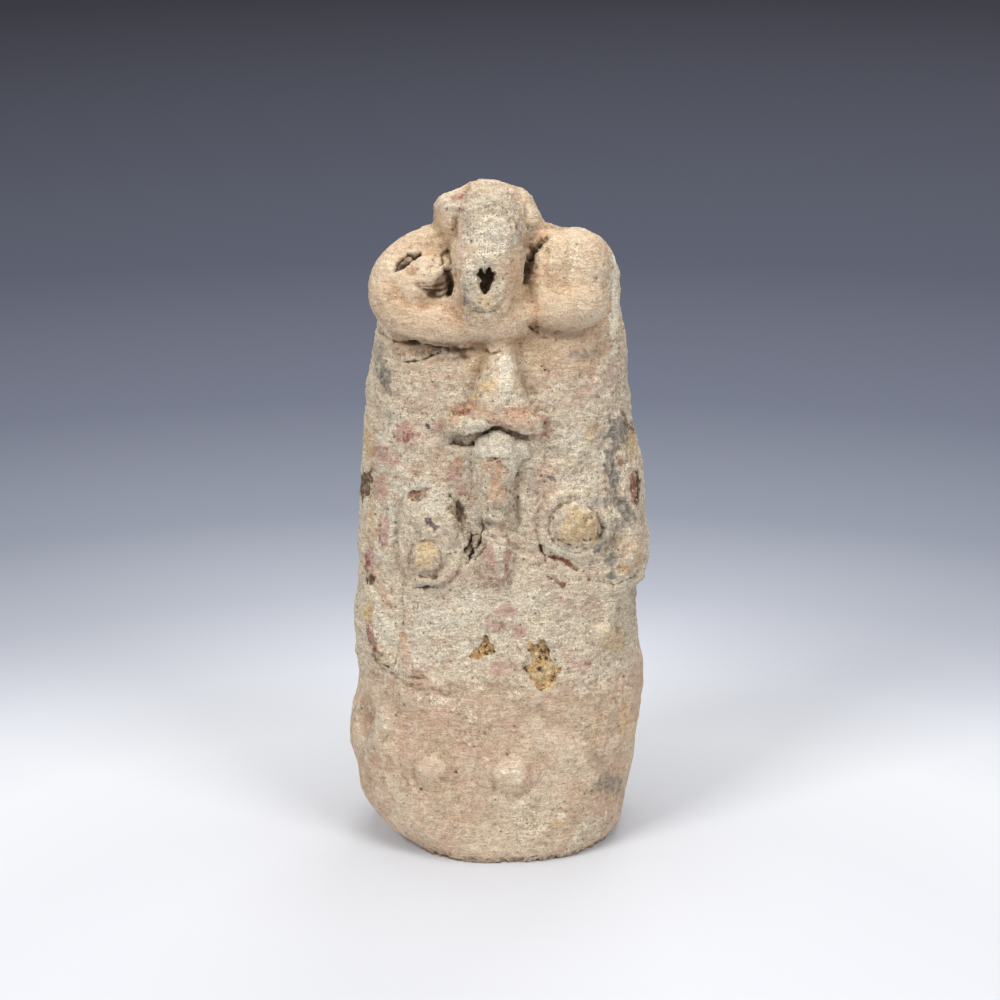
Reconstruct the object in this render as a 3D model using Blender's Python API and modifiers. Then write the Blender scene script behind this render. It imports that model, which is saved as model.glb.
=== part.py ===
"""A hand-modelled terracotta figure: a tall, slightly flattened clay body on a broad foot, with a knob of a head between
two thick lobes, a flared lip below it, an upright ridge, two ringed bosses and smaller pellets on its front.

Metres, +Z up. The figure faces -Y and stands on the plane z = 0, with the origin at the middle of its outline.
The whole figure is one lump of clay, so every form is laid on as a closed lump of its own, fused with the rest,
pressed and grooved, hollowed at the mouth, and cut flat underneath.
"""

import math

import bmesh
import bpy
import numpy as np
from mathutils import Euler, Matrix, Vector, noise

# Driving sizes, in metres.
FIGURE_HEIGHT = 0.300
BODY_WIDTH = 0.132
BODY_DEPTH = 0.088
MOUTH_WIDTH = 0.0085
MOUTH_HEIGHT = 0.0125
MOUTH_DEPTH = 0.018
EAR_ROLL_THICKNESS = 0.0240
LIP_THICKNESS = 0.0100
RIDGE_WIDTH = 0.0150
LARGE_PELLET_DIAMETER = 0.0200
LARGE_RING_DIAMETER = 0.0270
LARGE_RING_THICKNESS = 0.0060
OVAL_BOSS_WIDTH = 0.0250
OVAL_BOSS_HEIGHT = 0.0420
OVAL_BOSS_THICKNESS = 0.0075
SMALL_PELLET_DIAMETER = 0.0140
FOOT_PELLET_DIAMETER = 0.0170
PATCH_THICKNESS = 0.0035

# How finely the clay is worked.
FUSING_VOXEL = 0.0015
SMOOTHING_PASSES = 4
UNEVENNESS = 0.0011
UNEVENNESS_SPAN = 0.034
MOST_TRIANGLES = 8800
FOOT_SNAP = 0.0004
LEDGE_SLOPE = 2.5
GROOVE_MARKS = 40
GROOVE_END_SHARE = 0.6

# The free forms are drawn in millimetres on a figure of this size, and follow the driving sizes from there.
DRAWN_HEIGHT = 300.0
DRAWN_WIDTH = 132.0
DRAWN_DEPTH = 88.0
ACROSS = BODY_WIDTH / DRAWN_WIDTH
INWARD = BODY_DEPTH / DRAWN_DEPTH
UPWARD = FIGURE_HEIGHT / DRAWN_HEIGHT

# The body's sections as drawn: height, reach to the left, right, front and back, and squareness, where 2 is an oval.
BODY_SECTIONS = (
    (-4.0, 38.0, 49.0, 39.5, 36.0, 2.2),
    (0.0, 43.5, 54.0, 44.5, 39.5, 2.2),
    (4.0, 49.5, 56.8, 45.6, 41.5, 2.25),
    (11.0, 56.8, 58.7, 45.8, 43.0, 2.3),
    (20.0, 61.5, 59.6, 45.5, 43.5, 2.3),
    (32.0, 63.8, 60.8, 45.0, 44.0, 2.3),
    (42.0, 66.0, 62.3, 44.0, 44.0, 2.35),
    (50.0, 66.8, 63.4, 43.5, 44.0, 2.4),
    (58.0, 65.5, 64.3, 42.7, 43.5, 2.4),
    (67.0, 62.3, 65.2, 42.0, 43.0, 2.45),
    (76.0, 61.6, 64.8, 41.3, 42.5, 2.5),
    (86.0, 62.6, 63.0, 40.7, 42.0, 2.5),
    (100.0, 62.3, 61.6, 40.0, 41.5, 2.6),
    (130.0, 61.2, 61.9, 38.5, 40.0, 2.6),
    (165.0, 59.7, 60.5, 37.0, 38.0, 2.6),
    (200.0, 57.0, 57.6, 35.0, 35.0, 2.6),
    (227.0, 53.0, 55.2, 32.5, 32.5, 2.5),
    (245.0, 49.0, 53.0, 29.5, 30.0, 2.4),
    (258.0, 43.0, 52.4, 25.5, 27.0, 2.3),
    (268.0, 34.0, 48.3, 20.0, 22.5, 2.2),
    (275.0, 22.0, 40.5, 13.0, 16.0, 2.1),
    (279.0, 8.0, 26.0, 5.0, 8.0, 2.0),
)
BODY_RINGS = 90
BODY_POINTS_ROUND = 96

# The snout, as drawn: the mouth opens in the front of it.
SNOUT_CENTRE = (-4.0, -25.0, 261.0)
SNOUT_RADII = (16.5, 20.5, 27.0)
MOUTH_PLACE = (-4.4, 264.5)

# The mouth runs down as it goes in. Its outline is widest above the middle and narrow below.
MOUTH_DROP = 4.0
MOUTH_MIDDLE_SHARE = 0.88
MOUTH_TOP_SHARE = 0.55
MOUTH_INNER_END = 0.25


def clear_scene():
    """Start from an empty scene."""
    for obj in list(bpy.data.objects):
        bpy.data.objects.remove(obj, do_unlink=True)


def place(x, y, z):
    """A drawn point, in millimetres, as a point on the real figure."""
    return Vector((x * ACROSS, y * INWARD, z * UPWARD))


def section_curves():
    """The body's sections as smooth curves: one function of the drawn height for each column."""
    table = np.array(BODY_SECTIONS)
    heights = table[:, 0]

    def track(column):
        values = table[:, column]
        slopes = np.gradient(values, heights)

        def at(height):
            i = int(np.clip(np.searchsorted(heights, height) - 1, 0, len(heights) - 2))
            span = heights[i + 1] - heights[i]
            t = (height - heights[i]) / span
            rise = (3 - 2 * t) * t * t
            start = (1 - t) ** 2 * t * span * slopes[i]
            finish = (t - 1) * t * t * span * slopes[i + 1]
            return float(values[i] + rise * (values[i + 1] - values[i]) + start + finish)

        return at

    return [track(column) for column in range(1, table.shape[1])]


LEFT, RIGHT, FRONT, BACK, SQUARENESS = section_curves()


def body_point(height, angle):
    """A drawn point on the body's skin: angle 0 is the right flank, and three quarters of a turn on is the front."""
    c = math.cos(angle)
    s = math.sin(angle)
    power = 2 / SQUARENESS(height)
    wide = RIGHT(height) if c > 0 else LEFT(height)
    deep = BACK(height) if s > 0 else FRONT(height)
    return wide * math.copysign(abs(c) ** power, c), deep * math.copysign(abs(s) ** power, s), height


def front_depth(x, height):
    """How far forward of the middle the body's skin is, at a drawn place on its front."""
    wide = RIGHT(height) if x > 0 else LEFT(height)
    share = min(abs(x) / wide, 0.97)
    power = SQUARENESS(height)
    return FRONT(height) * (1 - share**power) ** (1 / power)


def on_front(x, height, proud=0.0):
    """A real point on the front of the body, moved forward by proud millimetres as drawn."""
    return place(x, -front_depth(x, height) - proud, height)


def front_turn(x, height):
    """The turn that lays a form drawn facing -Y flat on the front of the body at this place."""
    step = 2.0
    across = (on_front(x + step, height) - on_front(x - step, height)).normalized()
    upward = on_front(x, height + step) - on_front(x, height - step)
    outward = across.cross(upward).normalized()
    return Matrix((across, -outward, outward.cross(across))).transposed()


def turned(x, y, z):
    """A turn by three angles in degrees."""
    return Euler([math.radians(a) for a in (x, y, z)]).to_matrix()


def loft(rings):
    """A closed lump through rings of points that go the same way round, with its two ends filled."""
    bm = bmesh.new()
    rows = [[bm.verts.new(point) for point in ring] for ring in rings]
    count = len(rows[0])
    for lower, upper in zip(rows, rows[1:]):
        for i in range(count):
            j = (i + 1) % count
            bm.faces.new((lower[i], lower[j], upper[j], upper[i]))
    bm.faces.new(reversed(rows[0]))
    bm.faces.new(rows[-1])
    bmesh.ops.recalc_face_normals(bm, faces=bm.faces)
    return bm


def lump(centre, radii, turn=None, squareness=2.0):
    """A ball of clay pressed to three radii. A squareness over 2 makes it boxier. Centre and radii are real."""
    bm = bmesh.new()
    bmesh.ops.create_uvsphere(bm, u_segments=32, v_segments=20, radius=1.0)
    for vert in bm.verts:
        size = sum(abs(c) ** squareness for c in vert.co) ** (1 / squareness)
        vert.co = Vector([c / size * r for c, r in zip(vert.co, radii)])
    if turn is not None:
        bmesh.ops.transform(bm, matrix=turn.to_4x4(), verts=bm.verts)
    bmesh.ops.translate(bm, vec=centre, verts=bm.verts)
    return bm


def drawn_lump(centre, radii, turn=None, squareness=2.0):
    """A lump given by its drawn centre and radii."""
    return lump(place(*centre), place(*radii), turn, squareness)


def roll(points, thickness, closed=False):
    """A roll of clay along real points. Each point comes with its share of the roll's thickness."""
    curve = bpy.data.curves.new("roll", "CURVE")
    curve.dimensions = "3D"
    curve.bevel_depth = thickness / 2
    curve.bevel_resolution = 4
    curve.resolution_u = 8
    curve.use_fill_caps = True
    spline = curve.splines.new("BEZIER")
    spline.bezier_points.add(len(points) - 1)
    for knot, (co, share) in zip(spline.bezier_points, points):
        knot.co = co
        knot.radius = share
        knot.handle_left_type = "AUTO"
        knot.handle_right_type = "AUTO"
    spline.use_cyclic_u = closed
    guide = bpy.data.objects.new("roll", curve)
    bpy.context.scene.collection.objects.link(guide)
    bpy.context.view_layer.update()
    made = bpy.data.meshes.new_from_object(guide.evaluated_get(bpy.context.evaluated_depsgraph_get()))
    bpy.data.objects.remove(guide)
    bm = bmesh.new()
    bm.from_mesh(made)
    bpy.data.meshes.remove(made)
    bmesh.ops.remove_doubles(bm, verts=bm.verts, dist=0.00001)
    bmesh.ops.recalc_face_normals(bm, faces=bm.faces)
    return bm


def front_ring(x, height, across, upward, thickness, proud):
    """A closed roll laid as an oval on the front of the body. Across and upward are its real widths."""
    steps = 12
    points = []
    for k in range(steps):
        angle = 2 * math.pi * k / steps
        dx = across / 2 * math.cos(angle) / ACROSS
        dz = upward / 2 * math.sin(angle) / UPWARD
        points.append((on_front(x + dx, height + dz, proud), 1.0))
    return roll(points, thickness, closed=True)


def pellet(x, height, wide, tall, thick, proud):
    """A flattened pellet pressed on the front. Wide and tall are real widths; thick and proud are drawn."""
    radii = (wide / 2, thick * INWARD, tall / 2)
    return lump(on_front(x, height, proud), radii, front_turn(x, height))


def body():
    """The tall body, from just under the foot to the shoulders."""
    bottom, top = BODY_SECTIONS[0][0], BODY_SECTIONS[-1][0]
    turns = [2 * math.pi * i / BODY_POINTS_ROUND for i in range(BODY_POINTS_ROUND)]
    heights = [bottom + (top - bottom) * k / BODY_RINGS for k in range(BODY_RINGS + 1)]
    return [loft([[place(*body_point(height, a)) for a in turns] for height in heights])]


def head():
    """The knob: a worn dome, a bun on its left, a shoulder on its right, and the snout that holds the mouth."""
    return [
        drawn_lump((-4, -10, 277), (19, 20, 22), squareness=2.2),
        drawn_lump((-15.7, -13, 284), (10, 12, 12), turned(0, 20, 0)),
        drawn_lump((9, -9, 284.5), (10.5, 12, 12), turned(0, -20, 0)),
        drawn_lump((17, -7, 272), (13, 12, 9), turned(0, 32, 0)),
        drawn_lump(SNOUT_CENTRE, SNOUT_RADII, turned(-6, 0, 0), squareness=2.2),
        drawn_lump((-2, -30, 246), (18, 13, 12)),
    ]


def curled_ear():
    """The lobe on the left as seen from the front: a thick roll curled round a cupped cheek."""
    path = (
        (place(-14, -12, 273), 0.70),
        (place(-34, -14, 268), 0.86),
        (place(-43.3, -19, 259), 0.95),
        (place(-39.5, -24, 247), 1.00),
        (place(-28, -29, 243), 1.00),
        (place(-8, -28, 242), 0.80),
    )
    return [
        roll(path, EAR_ROLL_THICKNESS),
        drawn_lump((-31, -20, 255), (17, 15, 16), squareness=2.4),
        drawn_lump((-27, -27, 262), (9, 7.5, 7)),
    ]


def broad_ear():
    """The other lobe: one broad smooth pad."""
    return [
        drawn_lump((29.5, -18, 260), (18.5, 18, 20), turned(0, 10, 0), squareness=2.3),
        drawn_lump((30, -26, 251), (17, 14, 13), turned(0, -6, 0), squareness=2.2),
    ]


def flared_lip():
    """The neck that widens into a drooping lip."""
    neck = ((238, 6.5, 6.0), (228, 8.0, 7.5), (218, 10.5, 9.0), (210, 14.0, 9.5), (204, 18.5, 8.5), (199, 20.5, 6.0))
    sides = 24
    sunk = 4.0
    rings = []
    for height, half, proud in reversed(neck):
        ring = []
        for k in range(sides):
            angle = 2 * math.pi * k / sides
            y = sunk - front_depth(0, height) + (proud + sunk) * math.sin(angle)
            ring.append(place(1.0 + half * math.cos(angle), y, height))
        rings.append(ring)
    rim = [
        (on_front(-21, 198.5, 0.5), 0.70),
        (on_front(-12, 200.0, 3.5), 1.00),
        (on_front(0, 205.0, 5.5), 0.95),
        (on_front(11, 201.0, 4.0), 1.10),
        (on_front(19, 198.5, 1.5), 0.95),
    ]
    return [loft(rings), roll(rim, LIP_THICKNESS)]


def ridge():
    """The upright ridge below the lip: a broad head, a shaft and a rounded end, with a low strip on either side."""
    shaft = [
        (on_front(-1, 194, -3.0), 1.25),
        (on_front(-1, 184, -1.0), 1.15),
        (on_front(-1, 172, 0.5), 0.95),
        (on_front(-1, 158, 0.5), 0.90),
    ]
    end = [
        (on_front(-1, 154, -1.5), 0.60),
        (on_front(-1, 147, 0.5), 0.85),
        (on_front(-1, 139, 0.8), 0.92),
        (on_front(-1, 131, -1.0), 0.60),
        (on_front(-1, 127.5, -3.5), 0.20),
    ]
    right_strip = [(on_front(12, 186, -4.5), 0.5), (on_front(13, 165, -3.0), 0.8), (on_front(11, 140, -4.5), 0.5)]
    left_strip = [(on_front(-13, 186, -4.5), 0.4), (on_front(-13, 168, -3.5), 0.6), (on_front(-12, 148, -4.5), 0.4)]
    return [roll(path, RIDGE_WIDTH) for path in (shaft, end, right_strip, left_strip)]


def bosses():
    """The two ringed bosses, the low bump on the right flank and the two pellets on the foot."""
    ring, inner = LARGE_RING_DIAMETER, LARGE_PELLET_DIAMETER
    wide, tall = OVAL_BOSS_WIDTH, OVAL_BOSS_HEIGHT
    small, foot = SMALL_PELLET_DIAMETER, FOOT_PELLET_DIAMETER
    return [
        front_ring(33.5, 156.5, ring, ring, LARGE_RING_THICKNESS, -0.6),
        pellet(33.5, 156.5, inner, inner, 4.5, 0.8),
        front_ring(-28.5, 151.0, wide, tall, OVAL_BOSS_THICKNESS, -0.8),
        pellet(-28.5, 154.0, wide, tall * 0.85, 5.0, 0.2),
        pellet(-30.5, 141.0, small, small, 5.5, 1.5),
        pellet(45.5, 103.5, small, small, 5.0, -1.0),
        pellet(-29.0, 43.0, foot * 0.95, foot * 0.95, 5.0, -2.0),
        pellet(6.3, 43.0, foot, foot, 6.0, -1.0),
        pellet(6.3, 43.0, foot * 1.7, foot * 1.7, 4.0, -2.0),
    ]


def fused(lumps):
    """All the lumps as one mesh: joined, remeshed in small voxels and rubbed smooth."""
    joined = bmesh.new()
    for piece in lumps:
        mesh = bpy.data.meshes.new("lump")
        piece.to_mesh(mesh)
        piece.free()
        joined.from_mesh(mesh)
        bpy.data.meshes.remove(mesh)
    mesh = bpy.data.meshes.new("clay")
    joined.to_mesh(mesh)
    joined.free()
    clay = bpy.data.objects.new("clay", mesh)
    bpy.context.scene.collection.objects.link(clay)
    remesh = clay.modifiers.new("fuse", "REMESH")
    remesh.mode = "VOXEL"
    remesh.voxel_size = FUSING_VOXEL
    rub = clay.modifiers.new("rub", "SMOOTH")
    rub.factor = 0.5
    rub.iterations = SMOOTHING_PASSES
    return clay


def applied(obj):
    """Take an object's modifiers into its mesh."""
    bpy.context.view_layer.update()
    made = bpy.data.meshes.new_from_object(obj.evaluated_get(bpy.context.evaluated_depsgraph_get()))
    old = obj.data
    obj.modifiers.clear()
    obj.data = made
    bpy.data.meshes.remove(old)


class Skin:
    """A mesh's points and their outward directions, which the maker's hands press, swell and groove."""

    def __init__(self, mesh):
        self.mesh = mesh
        count = len(mesh.vertices)
        points = np.empty(count * 3)
        outward = np.empty(count * 3)
        mesh.vertices.foreach_get("co", points)
        mesh.vertices.foreach_get("normal", outward)
        self.points = points.reshape(-1, 3)
        self.outward = outward.reshape(-1, 3)

    def swell(self, centre, radii, height, edge=1.0, ledge=None):
        """Raise an oval area by a real height. Edge is the share of the area over which the rise fades.

        A ledge is a drawn height at which the raised area stops short.
        """
        away = np.linalg.norm((self.points - np.array(place(*centre))) / np.array(place(*radii)), axis=1)
        fade = np.clip((1 - away) / edge, 0, 1)
        rise = height * fade * fade * (3 - 2 * fade)
        if ledge is not None:
            rise *= np.clip((self.points[:, 2] / UPWARD - ledge) / LEDGE_SLOPE, 0, 1)
        self.points += self.outward * rise[:, None]

    def press(self, centre, radii, depth, edge=1.0):
        """Press an oval area in by a real depth."""
        self.swell(centre, radii, -depth, edge)

    def groove(self, path, width, depth):
        """Draw a tool along drawn points. Width and depth are real, and fade towards the two ends."""
        knots = np.array([place(*p) for p in path])
        at = np.linspace(0, len(knots) - 1, GROOVE_MARKS)
        line = np.stack([np.interp(at, range(len(knots)), knots[:, k]) for k in range(3)], axis=1)
        along = np.linspace(0, 1, GROOVE_MARKS)
        strengths = GROOVE_END_SHARE + (1 - GROOVE_END_SHARE) * np.sin(along * math.pi)
        near = np.zeros(len(self.points))
        for point, strength in zip(line, strengths):
            away = np.linalg.norm(self.points - point, axis=1) / (width / 2)
            near = np.maximum(near, strength * np.exp(-away * away))
        self.points -= self.outward * (depth * near)[:, None]

    def waver(self, height, span):
        """Leave the whole surface slightly uneven, as hands do."""
        rise = [noise.fractal(Vector(p) / span, 0.6, 2.0, 3) for p in self.points]
        self.points += self.outward * (height * np.array(rise))[:, None]

    def keep(self):
        """Write the points back to the mesh."""
        self.mesh.vertices.foreach_set("co", self.points.ravel())
        self.mesh.update()


def on_skin(x, height, proud=0.0):
    """A drawn point on the front of the body, for strokes."""
    return x, -front_depth(x, height) - proud, height


def work_surface(mesh):
    """The presses, swells and grooves that the maker left after the forms were joined."""
    skin = Skin(mesh)
    skin.waver(UNEVENNESS, UNEVENNESS_SPAN)
    # The shoulder patch on the right flank ends below in a ledge.
    skin.swell((66, -16, 156), (26, 38, 50), PATCH_THICKNESS, edge=0.7, ledge=119.0)
    skin.swell((62, -12, 132), (24, 32, 24), PATCH_THICKNESS * 0.6, edge=0.6, ledge=119.0)
    # The creases below the ringed boss.
    skin.groove([on_skin(18.5, 145, 1), on_skin(26, 139.5, 1), on_skin(35, 136.5, 1)], 0.0040, 0.0022)
    skin.groove([on_skin(22, 134.5, 1), on_skin(30, 129, 1)], 0.0035, 0.0018)
    # The raised strip on the left flank.
    skin.swell((-54, -20, 105), (13, 24, 19), 0.002, edge=0.4)
    # The undercuts of the two ears and the crevices beside the snout.
    skin.groove([(-54, -20, 239), (-42, -32, 234.5), (-28, -37, 232), (-11, -37, 231)], 0.0060, 0.0050)
    skin.groove([(13, -38, 239), (28, -38, 236), (42, -33, 238)], 0.0060, 0.0030)
    skin.groove([(-31, -37, 254), (-24, -37, 256), (-20, -36, 265)], 0.0055, 0.0060)
    skin.groove([(19, -28, 281), (15, -34, 271), (12, -38, 260)], 0.0050, 0.0065)
    skin.press((-38, -34, 267), (7, 10, 5), 0.0030)
    skin.press((28, -38, 268), (9, 12, 13), 0.0022)
    # The shadow line under the lip and the crease across the ridge.
    skin.groove([on_skin(-18, 192, 2), on_skin(-10, 195, 3), on_skin(-2, 198.5, 4), on_skin(12, 194.5, 3)], 0.0055, 0.0060)
    skin.groove([on_skin(-8, 155, 6), on_skin(-1, 154.5, 8), on_skin(7, 155, 6)], 0.0045, 0.0030)
    # The pit in the oval boss and the crevices between it and the ridge.
    skin.press(on_skin(-34.5, 168, 3), (5, 8, 3.5), 0.0030)
    skin.groove([on_skin(-15, 168, 1), on_skin(-13, 158, 1), on_skin(-14, 150, 1)], 0.0060, 0.0035)
    skin.groove([on_skin(-10, 158, 1), on_skin(-11, 147, 1), on_skin(-13, 140, 1)], 0.0045, 0.0030)
    # The lost flakes above the foot, the thumb marks at its left end and the waist between body and foot.
    skin.press(on_skin(-6.3, 99.5), (8, 10, 6), 0.0012, edge=0.4)
    skin.press(on_skin(18.9, 91.4), (9, 10, 12), 0.0014, edge=0.4)
    skin.press((-60, -22, 60), (9, 14, 14), 0.0045)
    skin.groove([(-62, -14, 80), (-50, -34, 82), (-36, -42, 78), (-22, -43, 76)], 0.0075, 0.0022)
    # Broad finger hollows on the back.
    skin.press((-24, 38, 190), (20, 14, 44), 0.0022)
    skin.press((22, 40, 120), (22, 14, 52), 0.0022)
    skin.press((-20, 42, 66), (26, 14, 24), 0.0018)
    skin.keep()


def mouth_cutter():
    """The hollow of the mouth: wide above, narrow below, and closing as it goes in and down."""
    front = (SNOUT_CENTRE[1] - SNOUT_RADII[1]) * INWARD
    start = front - MOUTH_DEPTH / 2
    finish = front + MOUTH_DEPTH
    steps = 10
    sides = 28
    x, z = MOUTH_PLACE
    rings = []
    for k in range(steps + 1):
        share = k / steps
        size = max(1 - share**3, MOUTH_INNER_END**2) ** 0.5
        ring = []
        for i in range(sides):
            angle = 2 * math.pi * i / sides
            half = MOUTH_WIDTH / 2 * (MOUTH_MIDDLE_SHARE + MOUTH_TOP_SHARE * math.sin(angle))
            across = x * ACROSS + half * size * math.cos(angle)
            upward = (z - MOUTH_DROP * share) * UPWARD + MOUTH_HEIGHT / 2 * size * math.sin(angle)
            ring.append(Vector((across, start + (finish - start) * share, upward)))
        rings.append(ring)
    mesh = bpy.data.meshes.new("mouth_cutter")
    bm = loft(rings)
    bm.to_mesh(mesh)
    bm.free()
    cutter = bpy.data.objects.new("mouth_cutter", mesh)
    cutter.hide_render = True
    cutter.display_type = "WIRE"
    return cutter


def thinned(obj):
    """Keep only as many facets as the form needs."""
    faces = len(obj.data.polygons)
    triangles = sum(len(p.vertices) - 2 for p in obj.data.polygons)
    fewer = obj.modifiers.new("thin", "DECIMATE")
    fewer.ratio = min(1.0, MOST_TRIANGLES / triangles)
    fewer.use_collapse_triangulate = True
    applied(obj)
    print("facets", faces, "thinned to", len(obj.data.polygons))


def cut_foot_flat(mesh):
    """Cut the underside to one true plane at z = 0."""
    bm = bmesh.new()
    bm.from_mesh(mesh)
    for vert in bm.verts:
        if abs(vert.co.z) < FOOT_SNAP:
            vert.co.z = 0.0
    geom = bm.verts[:] + bm.edges[:] + bm.faces[:]
    bmesh.ops.bisect_plane(bm, geom=geom, plane_co=(0, 0, 0), plane_no=(0, 0, 1), clear_inner=True)
    lying = [face for face in bm.faces if all(vert.co.z == 0.0 for vert in face.verts)]
    bmesh.ops.delete(bm, geom=lying, context="FACES")
    rim = [edge for edge in bm.edges if edge.is_boundary]
    bmesh.ops.contextual_create(bm, geom=rim)
    bmesh.ops.triangulate(bm, faces=bm.faces)
    bmesh.ops.recalc_face_normals(bm, faces=bm.faces)
    bm.to_mesh(mesh)
    bm.free()


def centre_on_origin(mesh):
    """Put the middle of the outline over the origin."""
    points = np.array([v.co for v in mesh.vertices])
    middle = (points.min(axis=0) + points.max(axis=0)) / 2
    mesh.transform(Matrix.Translation((-middle[0], -middle[1], 0)))


def terracotta():
    """Dry, unglazed fired clay."""
    material = bpy.data.materials.new("terracotta")
    material.use_nodes = True
    shader = material.node_tree.nodes["Principled BSDF"]
    shader.inputs["Base Color"].default_value = (0.50, 0.38, 0.27, 1.0)
    shader.inputs["Roughness"].default_value = 0.92
    shader.inputs["Metallic"].default_value = 0.0
    return material


def build():
    """Make the figure."""
    clear_scene()
    parts = bpy.data.collections.new("terracotta_figure")
    cutters = bpy.data.collections.new("cutters")
    for collection in (parts, cutters):
        bpy.context.scene.collection.children.link(collection)
    lumps = body() + head() + curled_ear() + broad_ear() + flared_lip() + ridge() + bosses()
    figure = fused(lumps)
    applied(figure)
    work_surface(figure.data)
    cutter = mouth_cutter()
    cutters.objects.link(cutter)
    hollow = figure.modifiers.new("mouth", "BOOLEAN")
    hollow.operation = "DIFFERENCE"
    hollow.solver = "EXACT"
    hollow.object = cutter
    applied(figure)
    thinned(figure)
    cut_foot_flat(figure.data)
    centre_on_origin(figure.data)
    figure.name = "terracotta_figure"
    figure.data.name = "terracotta_figure"
    figure.data.materials.clear()
    figure.data.materials.append(terracotta())
    figure.data.shade_smooth()
    bpy.context.scene.collection.objects.unlink(figure)
    parts.objects.link(figure)
    return figure


build()
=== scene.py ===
# %% [markdown]
# A terracotta figure, about 300 mm tall, modelled by hand in chaffy clay and washed with a pale slip that
# has worn to patches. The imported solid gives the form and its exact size. This file dresses it: it grows a
# dense skin on that solid, works the skin as a modeller's hands and a long burial would, and lights it like
# a museum photograph.

# %% The frame and its box
import itertools
import math
import statistics

import bpy
import numpy as np
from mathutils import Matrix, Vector
from mathutils.bvhtree import BVHTree
from mathutils.kdtree import KDTree


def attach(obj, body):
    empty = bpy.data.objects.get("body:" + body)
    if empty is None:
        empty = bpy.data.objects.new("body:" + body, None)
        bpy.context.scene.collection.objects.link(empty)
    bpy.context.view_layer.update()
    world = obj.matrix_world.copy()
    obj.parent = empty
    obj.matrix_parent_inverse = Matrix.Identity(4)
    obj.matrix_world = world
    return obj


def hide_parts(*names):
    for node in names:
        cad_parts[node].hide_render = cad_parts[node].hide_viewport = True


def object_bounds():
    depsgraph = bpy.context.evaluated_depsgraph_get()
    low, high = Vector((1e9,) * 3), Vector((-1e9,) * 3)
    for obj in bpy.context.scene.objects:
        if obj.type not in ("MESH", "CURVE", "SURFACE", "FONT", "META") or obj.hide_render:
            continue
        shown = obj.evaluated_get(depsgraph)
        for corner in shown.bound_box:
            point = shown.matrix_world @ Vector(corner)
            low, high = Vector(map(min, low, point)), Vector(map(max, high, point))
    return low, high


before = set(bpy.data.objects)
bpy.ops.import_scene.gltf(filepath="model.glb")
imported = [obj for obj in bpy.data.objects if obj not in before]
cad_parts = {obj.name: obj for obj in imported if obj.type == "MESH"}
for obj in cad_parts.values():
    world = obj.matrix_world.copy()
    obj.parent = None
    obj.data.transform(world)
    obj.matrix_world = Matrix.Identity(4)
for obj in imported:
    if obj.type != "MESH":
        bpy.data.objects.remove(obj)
solid_low, solid_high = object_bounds()
MM = 0.001
NODE = "terracotta_figure"
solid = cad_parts[NODE]
print("solid box in mm:", [round(v / MM, 1) for v in solid_high - solid_low])

# %% [markdown]
# The camera comes first, because the marks on the clay are placed by what a photographer saw. A long lens
# from 18 degrees above keeps the figure's sides nearly parallel. The picture is 1000 pixels square, so one
# function turns points into pixels and another finds the ray through a pixel. Any mark can then be given by
# the pixels where it shows.

# %% The camera
PICTURE_SIDE = 1000
LENS_MM = 110.0
SENSOR_MM = 36.0
ELEVATION = math.radians(18.0)
DISTANCE = 1.3442
AIM = Vector((0.0005, 0.0021, 0.1543))

RIGHTWARD = Vector((1, 0, 0))
FORWARD = Vector((0, math.cos(ELEVATION), -math.sin(ELEVATION)))
UPWARD = Vector((0, math.sin(ELEVATION), math.cos(ELEVATION)))
SCALE = LENS_MM / SENSOR_MM * PICTURE_SIDE

lens = bpy.data.cameras.new("camera")
lens.lens = LENS_MM
lens.sensor_width = SENSOR_MM
camera = bpy.data.objects.new("camera", lens)
camera.location = AIM - FORWARD * DISTANCE
camera.rotation_euler = (math.pi / 2 - ELEVATION, 0, 0)
bpy.context.scene.collection.objects.link(camera)
bpy.context.scene.camera = camera


def pixels(points):
    """Where points show in the picture, as columns across and down."""
    away = points - np.array(camera.location)
    depth = away @ np.array(FORWARD)
    across = PICTURE_SIDE / 2 + SCALE * away[:, 0] / depth
    down = PICTURE_SIDE / 2 - SCALE * (away @ np.array(UPWARD)) / depth
    return np.stack([across, down], axis=1)


def ray(across, down):
    """The direction of the ray through a pixel."""
    half = PICTURE_SIDE / 2
    return (FORWARD + RIGHTWARD * ((across - half) / SCALE) + UPWARD * ((half - down) / SCALE)).normalized()


PIXEL_MM = DISTANCE / SCALE / MM
print("camera at", [round(v, 4) for v in camera.location], "and one pixel is", round(PIXEL_MM, 3), "mm")

# %% [markdown]
# The mouth is a hole torn in wet clay, with a spiky upper edge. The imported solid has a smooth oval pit
# there. So the pit is plugged first, and then cut again with a ragged outline. Both tools are prisms that
# follow the rays through their outline's pixels, so the outline shows exactly as it was drawn.

# %% The mouth's outline
MOUTH = (486, 281)
MOUTH_DEPTH = 15 * MM
MOUTH_NARROWING = 0.75
PLUG_REACH = (13.5, 18.5)
PLUG_SINK = 0.6 * MM
PLUG_DEPTH = 30 * MM
TEAR_START = 20 * MM
PLUG_SIDES = 28
TORN_EDGE = (
    (470.0, 273.0), (475.8, 270.4), (477.6, 264.6), (482.4, 264.2), (484.6, 272.4), (486.4, 263.0),
    (491.6, 262.4), (493.6, 269.6), (500.6, 271.4), (495.0, 276.0), (497.6, 280.6), (493.0, 283.6),
    (491.6, 288.6), (490.6, 295.4), (487.0, 299.0), (482.4, 297.6), (479.0, 291.0), (476.8, 285.4),
    (480.8, 281.0), (477.0, 277.0),
)
print("the mouth's outline has", len(TORN_EDGE), "corners")

# %% [markdown]
# A prism is two copies of an outline at two distances from the camera, joined by walls. A Boolean modifier
# joins it to the figure or cuts it away, and the result then becomes the figure's own mesh, so nothing is
# left to be worked out later.

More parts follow.
